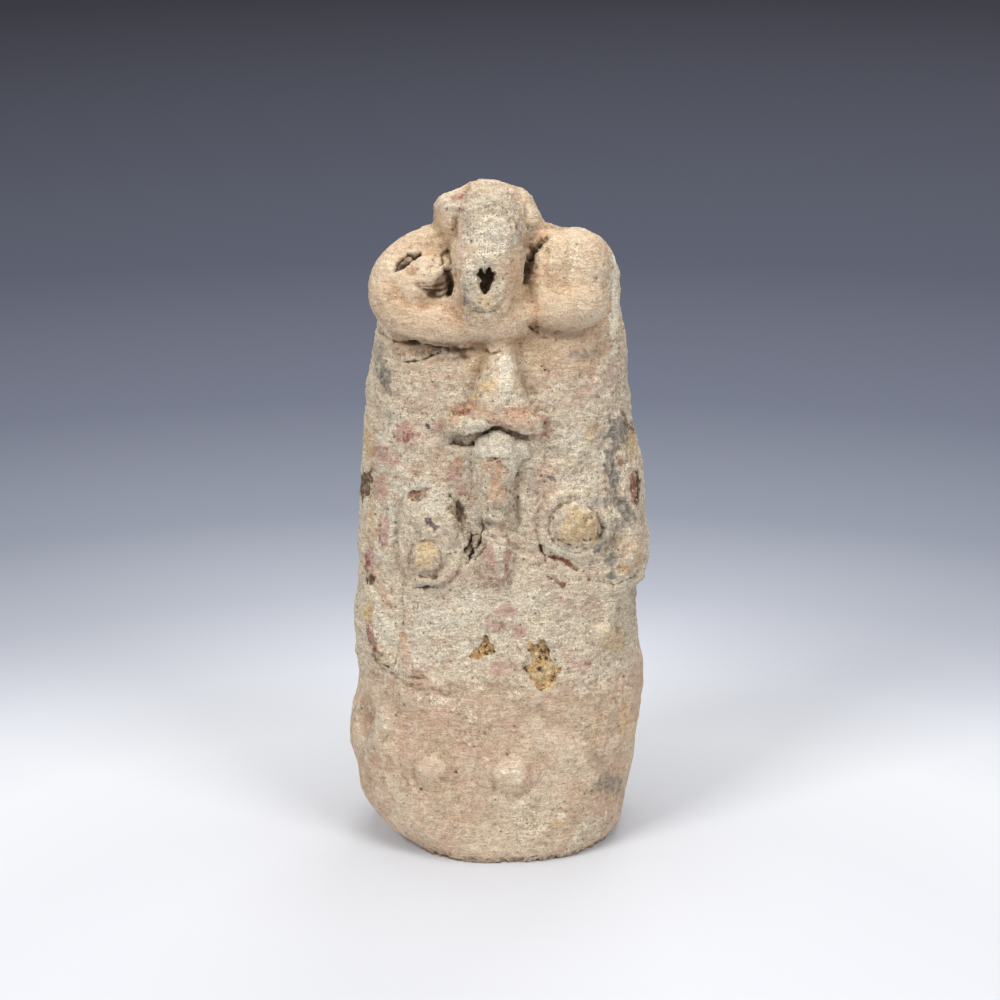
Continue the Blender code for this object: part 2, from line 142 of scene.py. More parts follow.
# %% Prisms, and joining and cutting with them
def prism(name, outline, near, far, narrowing=1.0):
    """A closed prism through pixels, from one distance from the camera to another."""
    middle = np.mean(outline, axis=0)
    corners = []
    for reach, share in ((near, 1.0), (far, narrowing)):
        for across, down in outline:
            drawn = middle + (np.array((across, down)) - middle) * share
            direction = ray(*drawn)
            corners.append(camera.location + direction * (reach / direction.dot(FORWARD)))
    count = len(outline)
    walls = [(k, (k + 1) % count, count + (k + 1) % count, count + k) for k in range(count)]
    caps = [tuple(reversed(range(count))), tuple(range(count, 2 * count))]
    mesh = bpy.data.meshes.new(name)
    mesh.from_pydata(corners, [], walls + caps)
    made = bpy.data.objects.new(name, mesh)
    bpy.context.scene.collection.objects.link(made)
    return made


def take_modifiers(obj):
    """Make an object's modifiers part of its mesh."""
    bpy.context.view_layer.update()
    made = bpy.data.meshes.new_from_object(obj.evaluated_get(bpy.context.evaluated_depsgraph_get()))
    obj.modifiers.clear()
    old, obj.data = obj.data, made
    bpy.data.meshes.remove(old)


def combine(obj, tool, operation):
    """Join a tool to an object or cut it away, and put the tool away."""
    step = obj.modifiers.new(operation, "BOOLEAN")
    step.operation = operation
    step.solver = "EXACT"
    step.object = tool
    take_modifiers(obj)
    bpy.data.objects.remove(tool)


# %% [markdown]
# Rays sent through the plug's outline find how far away the mouth's rim is, and both prisms are placed from
# there. The cut narrows with depth, as a hole poked with a stick does.

# %% The torn mouth
figure = bpy.data.objects.new("clay_figure", solid.data.copy())
bpy.context.scene.collection.objects.link(figure)
corners = np.array([v.co for v in solid.data.vertices])
form = BVHTree.FromPolygons(corners, [tuple(p.vertices) for p in solid.data.polygons])
plug_edge = []
rim_depths = []
for side in range(PLUG_SIDES):
    turn = 2 * math.pi * side / PLUG_SIDES
    across = MOUTH[0] + PLUG_REACH[0] * math.cos(turn)
    down = MOUTH[1] + PLUG_REACH[1] * math.sin(turn)
    plug_edge.append((across, down))
    hit = form.ray_cast(camera.location, ray(across, down))[0]
    rim_depths.append((hit - camera.location).dot(FORWARD))
rim_depth = statistics.median(rim_depths)
plug = prism("plug", plug_edge, rim_depth + PLUG_SINK, rim_depth + PLUG_DEPTH)
combine(figure, plug, "UNION")
cutter = prism("tear", TORN_EDGE, rim_depth - TEAR_START, rim_depth + MOUTH_DEPTH, MOUTH_NARROWING)
combine(figure, cutter, "DIFFERENCE")
print("mouth cut at", round((rim_depth - DISTANCE) / MM, 1), "mm from the middle")

# %% [markdown]
# Almost every soft edge below, in the clay and in its colour, comes from one curve that rises from 0 to 1
# and is flat at both ends.

# %% A soft step
def ramp(values, low, high):
    """0 below low, 1 above high and smooth between."""
    t = np.clip((values - low) / (high - low), 0, 1)
    return t * t * (3 - 2 * t)


print("a quarter of the way up a soft step:", round(float(ramp(0.25, 0, 1)), 3))

# %% [markdown]
# The skin has half a million points, so it is worked as numpy arrays: one of places, one of directions, and
# one for each stain. A mark made in the picture may only touch clay that the camera sees. So the picture is
# parted into small square cells, and a point that lies well behind the nearest one in its cell is taken as
# hidden, like the shoulder behind an ear.

# %% The skin as arrays
RUB_IN = 0.52
RUB_OUT = -0.54
SIGHT_CELL = 4
SIGHT_ROW = 4096
SIGHT_DEPTH = 12.0 * MM
GRAZING = (-0.05, 0.15)


class Clay:
    """The figure's skin as arrays of points, directions and stains, which strokes change all at once."""

    def __init__(self, mesh):
        self.mesh = mesh
        count = len(mesh.vertices)
        self.points = np.empty(count * 3)
        mesh.vertices.foreach_get("co", self.points)
        self.points = self.points.reshape(-1, 3)
        pairs = np.empty(len(mesh.edges) * 2, np.int32)
        mesh.edges.foreach_get("vertices", pairs)
        pairs = pairs.reshape(-1, 2)
        self.starts = np.concatenate([pairs[:, 0], pairs[:, 1]])
        self.ends = np.concatenate([pairs[:, 1], pairs[:, 0]])
        self.valence = np.maximum(np.bincount(self.starts, minlength=count), 1)
        self.stains = {}
        self.turn()

    def turn(self):
        """Write the points back, and find the directions and the picture places anew."""
        self.mesh.vertices.foreach_set("co", self.points.ravel())
        self.mesh.update()
        outward = np.empty(len(self.points) * 3)
        self.mesh.vertices.foreach_get("normal", outward)
        self.outward = outward.reshape(-1, 3)
        self.places = pixels(self.points)
        to_camera = np.array(camera.location) - self.points
        away = np.linalg.norm(to_camera, axis=1)
        to_camera /= away[:, None]
        cells = (self.places // SIGHT_CELL).astype(int) @ np.array((1, SIGHT_ROW))
        nearest = np.full(cells.max() + 1, np.inf)
        np.minimum.at(nearest, cells, away)
        in_sight = away < nearest[cells] + SIGHT_DEPTH
        self.facing = ramp(np.sum(self.outward * to_camera, axis=1), *GRAZING) * in_sight

    def around(self, values):
        """The mean of each point's neighbours."""
        if values.ndim == 1:
            return np.bincount(self.starts, values[self.ends], len(self.points)) / self.valence
        return np.stack([self.around(values[:, k]) for k in range(values.shape[1])], axis=1)

    def rub(self, passes, where):
        """Smooth the points without shrinking the form, more where the weight is high."""
        for _ in range(passes):
            for share in (RUB_IN, RUB_OUT):
                self.points += share * where[:, None] * (self.around(self.points) - self.points)
        self.turn()

    def push(self, heights):
        """Move every point outward by its own height in metres."""
        self.points += self.outward * heights[:, None]

    def stain(self, name, amounts):
        """Keep the stronger of an old and a new stain."""
        old = self.stains.get(name, np.zeros(len(self.points)))
        self.stains[name] = np.maximum(old, amounts)


print("points are hidden", round(SIGHT_DEPTH / MM), "mm or more behind the nearest clay")

# %% [markdown]
# Clay has no edges of its own, so the skin starts as a voxel remesh of the solid: an even net, fine enough
# to take a fingertip or a straw. The facets of the solid are then rubbed out by passes that smooth and
# swell in turn, which rounds the facets without shrinking the form. The mouth's torn edge is left almost as
# it was cut. Then a thumb's pressure nudges a few places of the outline by a millimetre or two. Only numpy
# arrays are used, so a pass over the whole skin takes a fraction of a second.

# %% A fine skin over the solid
SKIN_VOXEL = 0.66 * MM
STEP_PASSES = 3
RUBBING_PASSES = 20
NUDGES = (
    # The pixel, the reach, and the shift to the right and up, in millimetres.
    ((541, 202), 8.0, -2.2, 0.0), ((441, 202), 6.0, -1.9, 0.3), ((428, 226), 4.0, -0.4, 0.6),
    ((560, 226), 4.5, 0.0, -1.3), ((650, 527), 8.0, -1.3, 0.0), ((622, 800), 12.0, -1.7, 0.0),
    ((600, 846), 12.0, -1.8, 0.0), ((572, 857), 9.0, -1.4, 0.0), ((380, 818), 11.0, 1.2, 0.0),
    ((412, 850), 11.0, 1.4, 0.0),
)

remesh = figure.modifiers.new("net", "REMESH")
remesh.mode = "VOXEL"
remesh.voxel_size = SKIN_VOXEL
take_modifiers(figure)
clay = Clay(figure.data)
from_mouth = np.linalg.norm(clay.places - np.array(MOUTH), axis=1) * PIXEL_MM
clay.rub(STEP_PASSES, np.maximum(ramp(from_mouth, 5, 8), 1 - clay.facing))
clay.rub(RUBBING_PASSES, np.maximum(ramp(from_mouth, 6, 10), 1 - clay.facing))
for middle, reach, right, up in NUDGES:
    away = np.linalg.norm(clay.places - np.array(middle), axis=1) * PIXEL_MM / reach
    clay.points += np.exp(-(away**2))[:, None] * np.array((right, 0.0, up)) * MM
clay.turn()
print("skin points:", len(clay.points))

# %% [markdown]
# Hands and burial leave nothing perfectly even. The roughness at every size comes from one function: random
# heights at the corners of a lattice, blended smoothly between them. Two or three sizes of it added
# together look like clay that was pressed, slapped and scraped.

# %% Random bumps of any size
LATTICE_SIZE = 1 << 16
LATTICE_VALUES = np.random.default_rng(11).uniform(-1, 1, LATTICE_SIZE)
LATTICE_STEPS = (73856093, 19349663, 83492791)
SEED_STEP = 7919
SEED_SHIFT = 0.37


def bumps(points, size, seed):
    """Smooth random values from -1 to 1 with bumps of about this size."""
    cell = points / size + SEED_SHIFT * seed
    base = np.floor(cell).astype(np.int64)
    t = cell - base
    t = ramp(t, 0, 1)
    total = np.zeros(len(points))
    for corner in itertools.product((0, 1), repeat=3):
        keys = [(base[:, k] + corner[k]) * LATTICE_STEPS[k] for k in range(3)]
        key = keys[0] ^ keys[1] ^ keys[2] ^ (seed * SEED_STEP)
        weight = np.prod(np.where(corner, t, 1 - t), axis=1)
        total += weight * LATTICE_VALUES[key & (LATTICE_SIZE - 1)]
    return total


def rough(points, size, seed, sizes=3):
    """Bumps at several sizes, each half as big and half as high as the one before."""
    layers = [bumps(points, size / 2**k, seed + k) / 2**k for k in range(sizes)]
    return sum(layers) / sum(1 / 2**k for k in range(sizes))


print("rough clay spreads by", round(float(rough(clay.points, 24 * MM, 31).std()), 2), "about zero")

# %% [markdown]
# A stroke is what one finger, stick or straw did. It is given by the pixels that it runs through, by its
# width and its depth in millimetres, and by how much dirt and painted shade it leaves. A wavering distance
# keeps its edges ragged, and a wavering strength keeps it from looking drawn with a ruler. A negative depth
# lays a thin roll of clay instead.

# %% Strokes, ovals and patches placed by pixels
WAVER = 2.4 * MM
SEEN = 0.02


class Mark:
    """A few of the skin's points and how strongly a tool touched each."""

    def __init__(self, chosen, strength):
        self.chosen = chosen
        self.strength = strength

    def everywhere(self):
        """The strength over the whole skin."""
        whole = np.zeros(len(clay.points))
        whole[self.chosen] = self.strength
        return whole


def near(path, reach):
    """The seen skin points in a box of pixels round a path, widened by a reach in millimetres."""
    low = np.min(path, axis=0) - reach / PIXEL_MM
    high = np.max(path, axis=0) + reach / PIXEL_MM
    within = np.all((clay.places > low) & (clay.places < high), axis=1)
    return np.flatnonzero(within & (clay.facing > SEEN))


def distance_to_path(places, path):
    """How far each place is from a path of pixels, in millimetres."""
    nearest = np.full(len(places), 1e9)
    for a, b in zip(path, path[1:]):
        a, b = np.array(a, float), np.array(b, float)
        run = b - a
        t = np.clip((places - a) @ run / max(run @ run, 1e-9), 0, 1)
        nearest = np.minimum(nearest, np.linalg.norm(places - a - t[:, None] * run, axis=1))
    return nearest * PIXEL_MM


def waver(chosen, seed):
    """A ragged value about zero for each chosen point."""
    points = clay.points[chosen]
    return bumps(points, WAVER, seed) + 0.6 * bumps(points, WAVER / 2, seed + 1)


def stroke(path, width, ragged=0.3):
    """How strongly each point lies on a stroke of this width in millimetres."""
    chosen = near(path, width * 1.6)
    away = distance_to_path(clay.places[chosen], path) / (width / 2)
    away += ragged * waver(chosen, 5)
    depth = 0.85 + 0.4 * bumps(clay.points[chosen], 5 * MM, 9)
    return Mark(chosen, np.exp(-np.clip(away, 0, None) ** 2) * depth * clay.facing[chosen])


def oval(centre, across, up, lean=0.0, edge=0.5, ragged=0.2):
    """How strongly each point lies in an oval. The reaches are in millimetres, the lean in degrees."""
    chosen = near([centre], 1.5 * max(across, up))
    away = (clay.places[chosen] - np.array(centre, float)) * PIXEL_MM
    turn = math.radians(lean)
    x = away[:, 0] * math.cos(turn) - away[:, 1] * math.sin(turn)
    y = away[:, 0] * math.sin(turn) + away[:, 1] * math.cos(turn)
    reach = np.hypot(x / across, y / up) + ragged * waver(chosen, 6)
    return Mark(chosen, ramp(-reach, -1, edge - 1) * clay.facing[chosen])


def ring(centre, across, up, width, ragged=0.3):
    """How strongly each point lies on an oval line of this width in millimetres."""
    chosen = near([centre], 1.3 * max(across, up) + width)
    away = (clay.places[chosen] - np.array(centre, float)) * PIXEL_MM
    reach = (np.hypot(away[:, 0] / across, away[:, 1] / up) - 1) * math.sqrt(across * up) / (width / 2)
    reach += ragged * waver(chosen, 7)
    return Mark(chosen, np.exp(-(reach**2)) * clay.facing[chosen])


def inside(corners, soft=0.8, ragged=0.5):
    """How strongly each point lies inside these corner pixels. Soft and ragged are in millimetres."""
    outline = list(corners) + [corners[0]]
    chosen = near(outline, 2.0)
    x, y = clay.places[chosen].T
    crossings = np.zeros(len(chosen), bool)
    for (ax, ay), (bx, by) in zip(outline, outline[1:]):
        spans = (ay > y) != (by > y)
        crossings ^= spans & (x < (bx - ax) * (y - ay) / ((by - ay) or 1e-9) + ax)
    away = distance_to_path(clay.places[chosen], outline)
    away = np.where(crossings, away, -away) + ragged * waver(chosen, 8)
    return Mark(chosen, ramp(away, -soft / 2, soft / 2) * clay.facing[chosen])


def press(mark, depth, dirt_and_shade=0.0):
    """Press the clay in by a depth in millimetres where a mark is strong, leaving dirt and painted shade."""
    clay.points[mark.chosen] -= clay.outward[mark.chosen] * (mark.strength * depth * MM)[:, None]
    if dirt_and_shade:
        clay.stain("dirt_and_shade", mark.everywhere() * dirt_and_shade)


def press_strokes(rows):
    """Press in every row's stroke: its path, its width, its depth and its dirt and painted shade."""
    for path, width, depth, dirt_and_shade in rows:
        press(stroke(path, width), depth, dirt_and_shade)


def combed(mark, size, lean, seed, length=6.0):
    """Long narrow bumps over a mark's points, as fibres lie. The lean is in degrees from upright."""
    turn = math.radians(lean)
    away = clay.places[mark.chosen] * PIXEL_MM * MM
    across = away[:, 0] * math.cos(turn) + away[:, 1] * math.sin(turn)
    along = away[:, 1] * math.cos(turn) - away[:, 0] * math.sin(turn)
    return bumps(np.stack([across, along / length, np.zeros(len(across))], axis=1), size, seed)


def tear(corners, lean, depth, dirt_and_shade, seed):
    """Pull fibres out of a patch: combed grooves, with dirt and painted shade in the deepest."""
    patch = inside(corners, soft=1.6, ragged=0.8)
    fibres = ramp(combed(patch, 1.3 * MM, lean, seed, 5.0), -0.45, 0.6)
    torn = Mark(patch.chosen, patch.strength * fibres)
    press(patch, depth * 0.4, dirt_and_shade * 0.4)
    press(torn, depth * 0.7, dirt_and_shade)


clay.stain("dirt_and_shade", np.zeros(len(clay.points)))
print("seen points:", int(np.sum(clay.facing > SEEN)), "of", len(clay.points))

# %% [markdown]
# The head: a worn knob with a bun on its left, a snout with the torn mouth, one ear curled like a shell and
# the other smooth like a pad. The solid has these forms. The strokes below cut the shadow lines that part
# them, where two lumps of clay were pushed together and never quite joined, and paint dirt and shade into
# them. Each row is a path of pixels, a width, a depth and its dirt and painted shade.

# %% The head's creases
HEAD_CREASES = (
    # The shell ear's eye: its dark left lid, its lower lid and its inner corner.
    (((394, 271), (396, 264), (401, 258)), 1.2, 0.6, 0.95),
    (((404, 268), (409, 263), (414, 259)), 1.0, 0.4, 0.7),
    (((412, 256), (420, 254)), 1.5, 1.0, 1.0),
    # The soft hollow round the eye and the swirl.
    (((396, 252), (410, 246), (424, 245), (440, 244)), 5.0, 0.8, 0.0),
    (((425, 276), (412, 274), (404, 280)), 5.0, 0.8, 0.0),
    # Its inner swirl.
    (((447, 250), (442, 255), (443, 262), (438, 267), (431, 265), (426, 269)), 1.5, 1.1, 0.6),
    (((447, 252), (449, 260), (446, 267)), 1.8, 1.0, 0.45),
    (((436, 254), (433, 259), (435, 262)), 1.2, 0.6, 0.4),
    # The layered gap between the shell ear and the snout.
    (((447, 270), (449, 281), (447, 294)), 2.8, 3.0, 1.0),
    (((418, 283), (428, 284), (438, 281), (447, 273)), 1.3, 0.8, 0.4),
    (((420, 287), (430, 288), (440, 286), (448, 280)), 1.2, 1.0, 0.7),
    (((424, 291), (434, 293), (442, 290), (448, 286)), 1.2, 1.2, 0.8),
    (((430, 296), (438, 297), (446, 293)), 1.6, 1.2, 0.9),
    (((414, 286), (421, 290), (430, 295)), 1.2, 0.6, 0.4),
    # Under the shell ear, and the crack below it.
    (((374, 326), (382, 336), (396, 343), (414, 346), (436, 349), (456, 352), (468, 357)),
     4.0, 2.0, 0.35),
    (((378, 333), (390, 341), (404, 345), (424, 348), (448, 352)), 1.6, 1.4, 0.7),
    (((400, 352), (430, 355), (462, 360)), 7.0, 0.6, 0.16),
    (((446, 356), (458, 361), (470, 362)), 4.0, 0.3, 0.35),
    (((404, 362), (418, 361), (430, 357), (440, 354)), 1.3, 1.2, 0.8),
    (((440, 360), (455, 359), (473, 357)), 2.0, 1.0, 0.5),
    (((452, 352), (462, 351), (472, 349)), 1.6, 1.2, 0.6),
    # The gap between the snout and the pad ear, with holes along it.
    (((546, 236), (538, 243), (532, 252), (529, 264), (527, 284)), 2.8, 1.8, 0.45),
    (((541, 238), (535, 245)), 1.6, 1.0, 0.9),
    (((533, 250), (530, 257)), 1.7, 1.6, 1.0),
    (((528, 262), (527, 272)), 1.7, 1.8, 1.0),
    (((527, 277), (527, 283)), 1.1, 1.0, 0.9),
    # Under the pad ear, along its outer edge, and its finger hollow.
    (((529, 325), (540, 332), (556, 337), (575, 338), (592, 332), (604, 320)), 3.0, 1.0, 0.15),
    (((530, 328), (533, 331)), 1.2, 0.8, 0.8),
    (((537, 333), (539, 334)), 1.1, 0.6, 0.6),
    (((541, 337), (552, 340)), 1.2, 0.6, 0.5),
    (((558, 340), (564, 340)), 1.0, 0.4, 0.4),
    (((596, 240), (606, 252), (613, 272), (614, 298), (609, 318)), 2.2, 0.6, 0.2),
    (((547, 250), (544, 268), (549, 288)), 3.4, 0.9, 0.1),
    (((556, 248), (556, 288)), 2.6, 0.25, 0.0),
    (((566, 245), (568, 292)), 2.6, 0.25, 0.0),
    (((577, 248), (580, 292)), 2.4, 0.2, 0.0),
    (((560, 258), (564, 282)), 13.0, 0.7, 0.0),
    # Between the knob and its bun, and down its right side.
    (((466, 184), (461, 198), (457, 214), (452, 234)), 3.6, 2.2, 0.0),
    (((459, 206), (456, 220), (452, 236)), 2.0, 0.8, 0.1),
    (((466, 188), (457, 190), (446, 196)), 2.4, 0.5, 0.0),
    (((515, 184), (522, 196), (527, 212), (530, 232)), 3.0, 1.5, 0.1),
    (((508, 188), (518, 204), (524, 224)), 1.6, 0.5, 0.2),
    (((448, 232), (440, 236), (432, 240)), 3.0, 0.8, 0.0),
    # Beside the snout's mouth, and under the chin.
    (((460, 262), (457, 285), (461, 306)), 2.4, 0.6, 0.1),
    (((512, 262), (516, 282), (514, 302)), 2.6, 0.6, 0.1),
    (((464, 300), (472, 310), (484, 313), (496, 308)), 2.2, 0.5, 0.1),
    (((485, 350), (490, 354), (500, 351)), 1.3, 0.8, 0.7),
)
press_strokes(HEAD_CREASES)
EYE = (
    (394, 270), (396, 263), (401, 257), (407, 253), (421, 252), (419, 256), (412, 260), (405, 267),
    (398, 271),
)
press(inside(EYE, soft=1.6, ragged=0.5), 1.6, 1.0)
EYE_CRUMB = (408, 258)
press(oval(EYE_CRUMB, 1.7, 1.3, 30), -0.7)
SHELL_GAP = (
    (413, 283), (428, 280), (440, 275), (449, 268), (452, 282), (450, 298), (440, 300), (428, 297),
    (418, 291),
)
press(inside(SHELL_GAP, soft=3.0, ragged=0.8), 0.7, 0.6)
PAD_GAP = (
    (529, 256), (532, 247), (540, 238), (546, 235), (541, 245), (535, 256), (532, 268), (528, 285),
    (525, 285),
)
press(inside(PAD_GAP, soft=1.2, ragged=1.4), 0.5, 0.7)
press(ring(MOUTH, 7.6, 10.6, 4.0), -0.9)
MOUTH_CHIPS = (
    (503, 279, 1.0), (506, 274, 0.7), (474, 296, 0.8), (488, 304, 0.7), (470, 264, 0.9), (499, 300, 0.9),
    (467, 272, 0.6), (471, 284, 0.8), (468, 291, 0.6), (480, 303, 0.6), (497, 288, 0.6), (475, 259, 0.6),
    (497, 259, 0.6), (505, 292, 0.7), (464, 301, 0.7), (493, 310, 0.6), (476, 311, 0.7), (484, 257, 0.5),
)
for across, down, size in MOUTH_CHIPS:
    press(oval((across, down), size, size * 0.8, edge=0.9, ragged=0.4), 0.8, 0.7)
CHEEK_SPECKS = (
    (541, 366, 1.1), (545, 370, 0.9), (549, 371, 0.7), (546, 362, 0.6), (562, 382, 0.8), (556, 377, 0.6),
)
for across, down, size in CHEEK_SPECKS:
    press(oval((across, down), size, size * 0.7, edge=0.9, ragged=0.5), 0.6, 0.9)
clay.turn()
print("head creases:", len(HEAD_CREASES))

# %% [markdown]
# Below the chin a strip of clay flares into a drooping lip, with a black gap under it. The ridge hangs from
# that gap: a pale panel, a worn orange shaft, a crease, and a rounded end. Fibres tore out beside it when
# it was pressed on.

# %% The lip and the ridge
LIP_AND_RIDGE = (
    # Either side of the flare.
    (((486, 353), (478, 372), (468, 396), (452, 412)), 3.6, 0.7, 0.1),
    (((516, 353), (522, 374), (530, 398), (545, 412)), 3.6, 0.7, 0.1),
    # The gap under the lip, its pit on the left and the lip's broken edge.
    (((477, 437), (485, 434), (492, 430), (499, 432), (507, 435)), 1.7, 2.8, 1.0),
    (((507, 435), (521, 439), (534, 443)), 1.3, 0.8, 0.2),
    (((455, 443), (464, 445), (473, 444)), 3.0, 2.2, 0.85),
    (((472, 441), (475, 449)), 1.5, 1.3, 0.9),
    (((463, 426), (468, 420), (476, 418), (486, 420), (493, 426)), 1.3, 0.7, 0.5),
    (((464, 432), (474, 428), (488, 428)), 1.2, 0.4, 0.3),
    (((440, 426), (446, 436), (456, 440)), 1.8, 0.8, 0.3),
    (((541, 418), (549, 428), (546, 440)), 1.8, 0.7, 0.2),
    # The panel's edges and the shaft's sides.
    (((475, 441), (475, 450), (471, 456)), 1.5, 0.9, 0.4),
    (((481, 459), (482, 480), (484, 500), (487, 515)), 1.6, 0.5, 0.15),
    (((518, 452), (517, 480), (512, 500), (506, 516)), 1.8, 0.6, 0.2),
    (((470, 458), (473, 486), (476, 510)), 2.2, 0.5, 0.1),
    (((487, 460), (490, 462), (494, 460), (499, 457)), 1.0, 0.6, 0.9),
    (((513, 505), (515, 511)), 1.0, 0.8, 0.9),
    (((488, 505), (487, 511)), 1.0, 0.8, 0.8),
    (((506, 489), (510, 493)), 1.0, 0.6, 0.8),
    (((490, 514), (498, 518), (506, 515)), 1.4, 0.6, 0.4),
    # The crease and the rounded end's outline.
    (((487, 535), (496, 538), (507, 536)), 1.3, 0.8, 0.55),
    (((485, 542), (481, 558), (481, 575), (489, 586), (499, 585), (507, 573), (509, 553), (508, 540)),
     1.7, 0.7, 0.15),
    (((487, 588), (496, 591), (506, 588)), 1.6, 0.5, 0.2),
    # The soft strip on the right of the shaft.
    (((524, 478), (527, 505), (526, 535), (522, 562)), 2.4, 0.6, 0.0),
    (((517, 470), (518, 500), (516, 540), (514, 566)), 2.0, 0.6, 0.1),
    # Torn fibres on its left.
    (((482, 521), (483, 528), (479, 538), (475, 548)), 1.4, 1.6, 1.0),
    (((485, 541), (481, 549), (475, 560)), 1.5, 1.8, 1.0),
    (((471, 533), (472, 542), (468, 550)), 1.1, 0.9, 0.7),
    (((472, 545), (469, 560)), 1.0, 1.0, 0.8),
)
press_strokes(LIP_AND_RIDGE)
LIP_CHIP = ((463, 430), (468, 423), (477, 420), (486, 421), (492, 427), (484, 431), (474, 434), (464, 436))
press(inside(LIP_CHIP), -0.6)
PANEL = (
    (474, 442), (483, 436), (493, 433), (508, 436), (528, 443), (529, 456), (520, 462), (512, 472),
    (506, 468), (499, 457), (486, 458), (475, 455),
)
press(inside(PANEL, soft=2.0, ragged=0.6), -1.7)
# The cream over the panel is painted light, lifting it where the lip's shadow falls.
clay.stain("cream_and_painted_light", 0.9 * inside(PANEL, soft=2.0, ragged=1.4).everywhere())
tear(((468, 536), (478, 530), (485, 540), (478, 556), (468, 564), (465, 552)), 25, 1.2, 0.9, 12)
clay.turn()
print("lip and ridge strokes:", len(LIP_AND_RIDGE))

# %% [markdown]
# The bosses are pellets pressed into rings. On the left one long oval holds a small pellet near its foot,
# and torn fibres part it from the ridge. On the right a flat pellet sits in a collar, with red creases
# fanning out below it.

# %% The bosses and the flanks
BOSSES_AND_FLANKS = (
    # The oval boss: its left side, its two lower rims, the brown pit and the spots on its right.
    (((420, 482), (408, 488), (402, 500), (397, 520), (395, 545), (398, 570), (406, 582)),
     3.2, 1.2, 0.06),
    (((440, 482), (452, 486), (460, 494)), 2.6, 0.6, 0.05),
    (((413, 575), (420, 577), (430, 579), (440, 576)), 1.6, 1.0, 0.5),
    (((416, 589), (427, 588), (437, 588), (445, 585), (455, 577), (460, 566)), 2.2, 1.1, 0.35),
    (((417, 588), (428, 589), (438, 588)), 1.0, 0.6, 0.8),
    (((407, 500), (412, 494), (425, 491)), 1.2, 0.7, 0.35),
    (((412, 501), (419, 500), (424, 498)), 1.4, 0.5, 0.4),
    (((416, 489), (422, 487)), 0.9, 0.4, 0.5),
    (((445, 511), (448, 509)), 1.2, 0.8, 0.9),
    (((451, 494), (455, 501)), 1.2, 0.9, 0.9),
    (((464, 507), (465, 521)), 1.2, 1.0, 0.6),
    (((449, 497), (456, 501), (461, 509)), 0.9, 0.7, 0.7),
    (((451, 505), (458, 511), (462, 520)), 0.9, 0.8, 0.7),
    (((453, 514), (459, 520), (460, 529)), 0.9, 0.7, 0.6),
    (((446, 487), (452, 486), (458, 489)), 1.0, 0.5, 0.5),
    (((467, 490), (470, 512), (470, 532)), 3.0, 0.7, 0.1),
    (((399, 556), (401, 560)), 1.0, 0.5, 0.8),
    # The collar round the round boss, its dark creases and the folds below.
    (((557, 531), (559, 539), (566, 543), (574, 543)), 1.1, 0.8, 0.7),
    (((583, 539), (587, 540)), 1.1, 0.7, 0.9),
    (((598, 528), (597, 536), (592, 544), (583, 550)), 1.1, 0.7, 0.45),
    (((601, 524), (605, 532), (604, 539), (600, 546), (594, 552)), 1.5, 0.6, 0.6),
    (((540, 545), (544, 556), (546, 560)), 1.6, 1.0, 0.7),
    (((546, 558), (556, 557), (565, 561), (573, 566), (577, 570)), 1.7, 1.0, 0.2),
    (((557, 573), (564, 572), (573, 569), (584, 572)), 1.2, 0.6, 0.5),
    (((548, 577), (555, 580), (559, 584)), 1.2, 0.6, 0.3),
    (((558, 584), (564, 585)), 1.6, 1.0, 0.8),
    (((566, 586), (576, 581), (586, 578), (596, 578)), 1.8, 0.5, 0.15),
    # The ledge under the shoulder patch and the steps up its left side.
    (((590, 581), (606, 583), (615, 585), (628, 580), (638, 576)), 1.6, 1.0, 0.35),
    (((604, 581), (613, 584)), 1.0, 0.5, 0.8),
    (((604, 438), (602, 458), (606, 480), (608, 500)), 2.2, 0.8, 0.3),
    (((612, 500), (618, 525), (616, 548)), 2.0, 0.7, 0.3),
    (((622, 410), (630, 430), (634, 452)), 2.2, 0.9, 0.3),
    (((618, 445), (612, 470), (616, 495)), 1.6, 0.7, 0.4),
    # The strip on the left flank, with straws splayed at its foot.
    (((402, 596), (403, 622), (399, 650), (392, 668)), 2.6, 0.8, 0.1),
    (((372, 655), (380, 668), (392, 674)), 1.8, 1.2, 0.4),
    (((384, 664), (388, 668)), 1.6, 1.3, 1.0),
    (((391, 652), (389, 660), (393, 668)), 0.9, 0.9, 0.6),
    (((397, 656), (394, 666)), 0.9, 0.7, 0.6),
    (((403, 660), (396, 670)), 0.9, 0.6, 0.5),
    (((409, 677), (417, 678), (428, 680)), 1.4, 0.9, 0.6),
    (((418, 690), (430, 689), (440, 691)), 1.6, 0.8, 0.5),
    (((404, 684), (424, 692), (446, 696), (470, 690)), 3.0, 0.6, 0.1),
    # The swirl round the bump on the right.
    (((586, 634), (594, 622), (608, 621), (619, 632), (618, 648), (606, 657), (592, 653)),
     2.4, 0.5, 0.05),
)
press_strokes(BOSSES_AND_FLANKS)
ROUND_BOSS = (575, 527)
press(oval(ROUND_BOSS, 10.8, 10.6, edge=0.25), -1.0)
press(ring(ROUND_BOSS, 11.4, 11.2, 1.6), 1.2, 0.12)
press(ring(ROUND_BOSS, 14.2, 14.8, 4.0), -0.6)
press(ring(ROUND_BOSS, 17.4, 17.8, 2.6), 0.6)
OVAL_PELLET = (425, 559)
press(oval(OVAL_PELLET, 7.0, 7.6, edge=0.35), -0.8)
press(ring(OVAL_PELLET, 7.2, 7.8, 1.6), 0.9, 0.12)
FLANK_STRIP = (
    (374, 600), (384, 594), (398, 597), (402, 616), (400, 642), (393, 664), (382, 664), (373, 640),
)
press(inside(FLANK_STRIP, soft=2.4, ragged=0.8), -0.9)
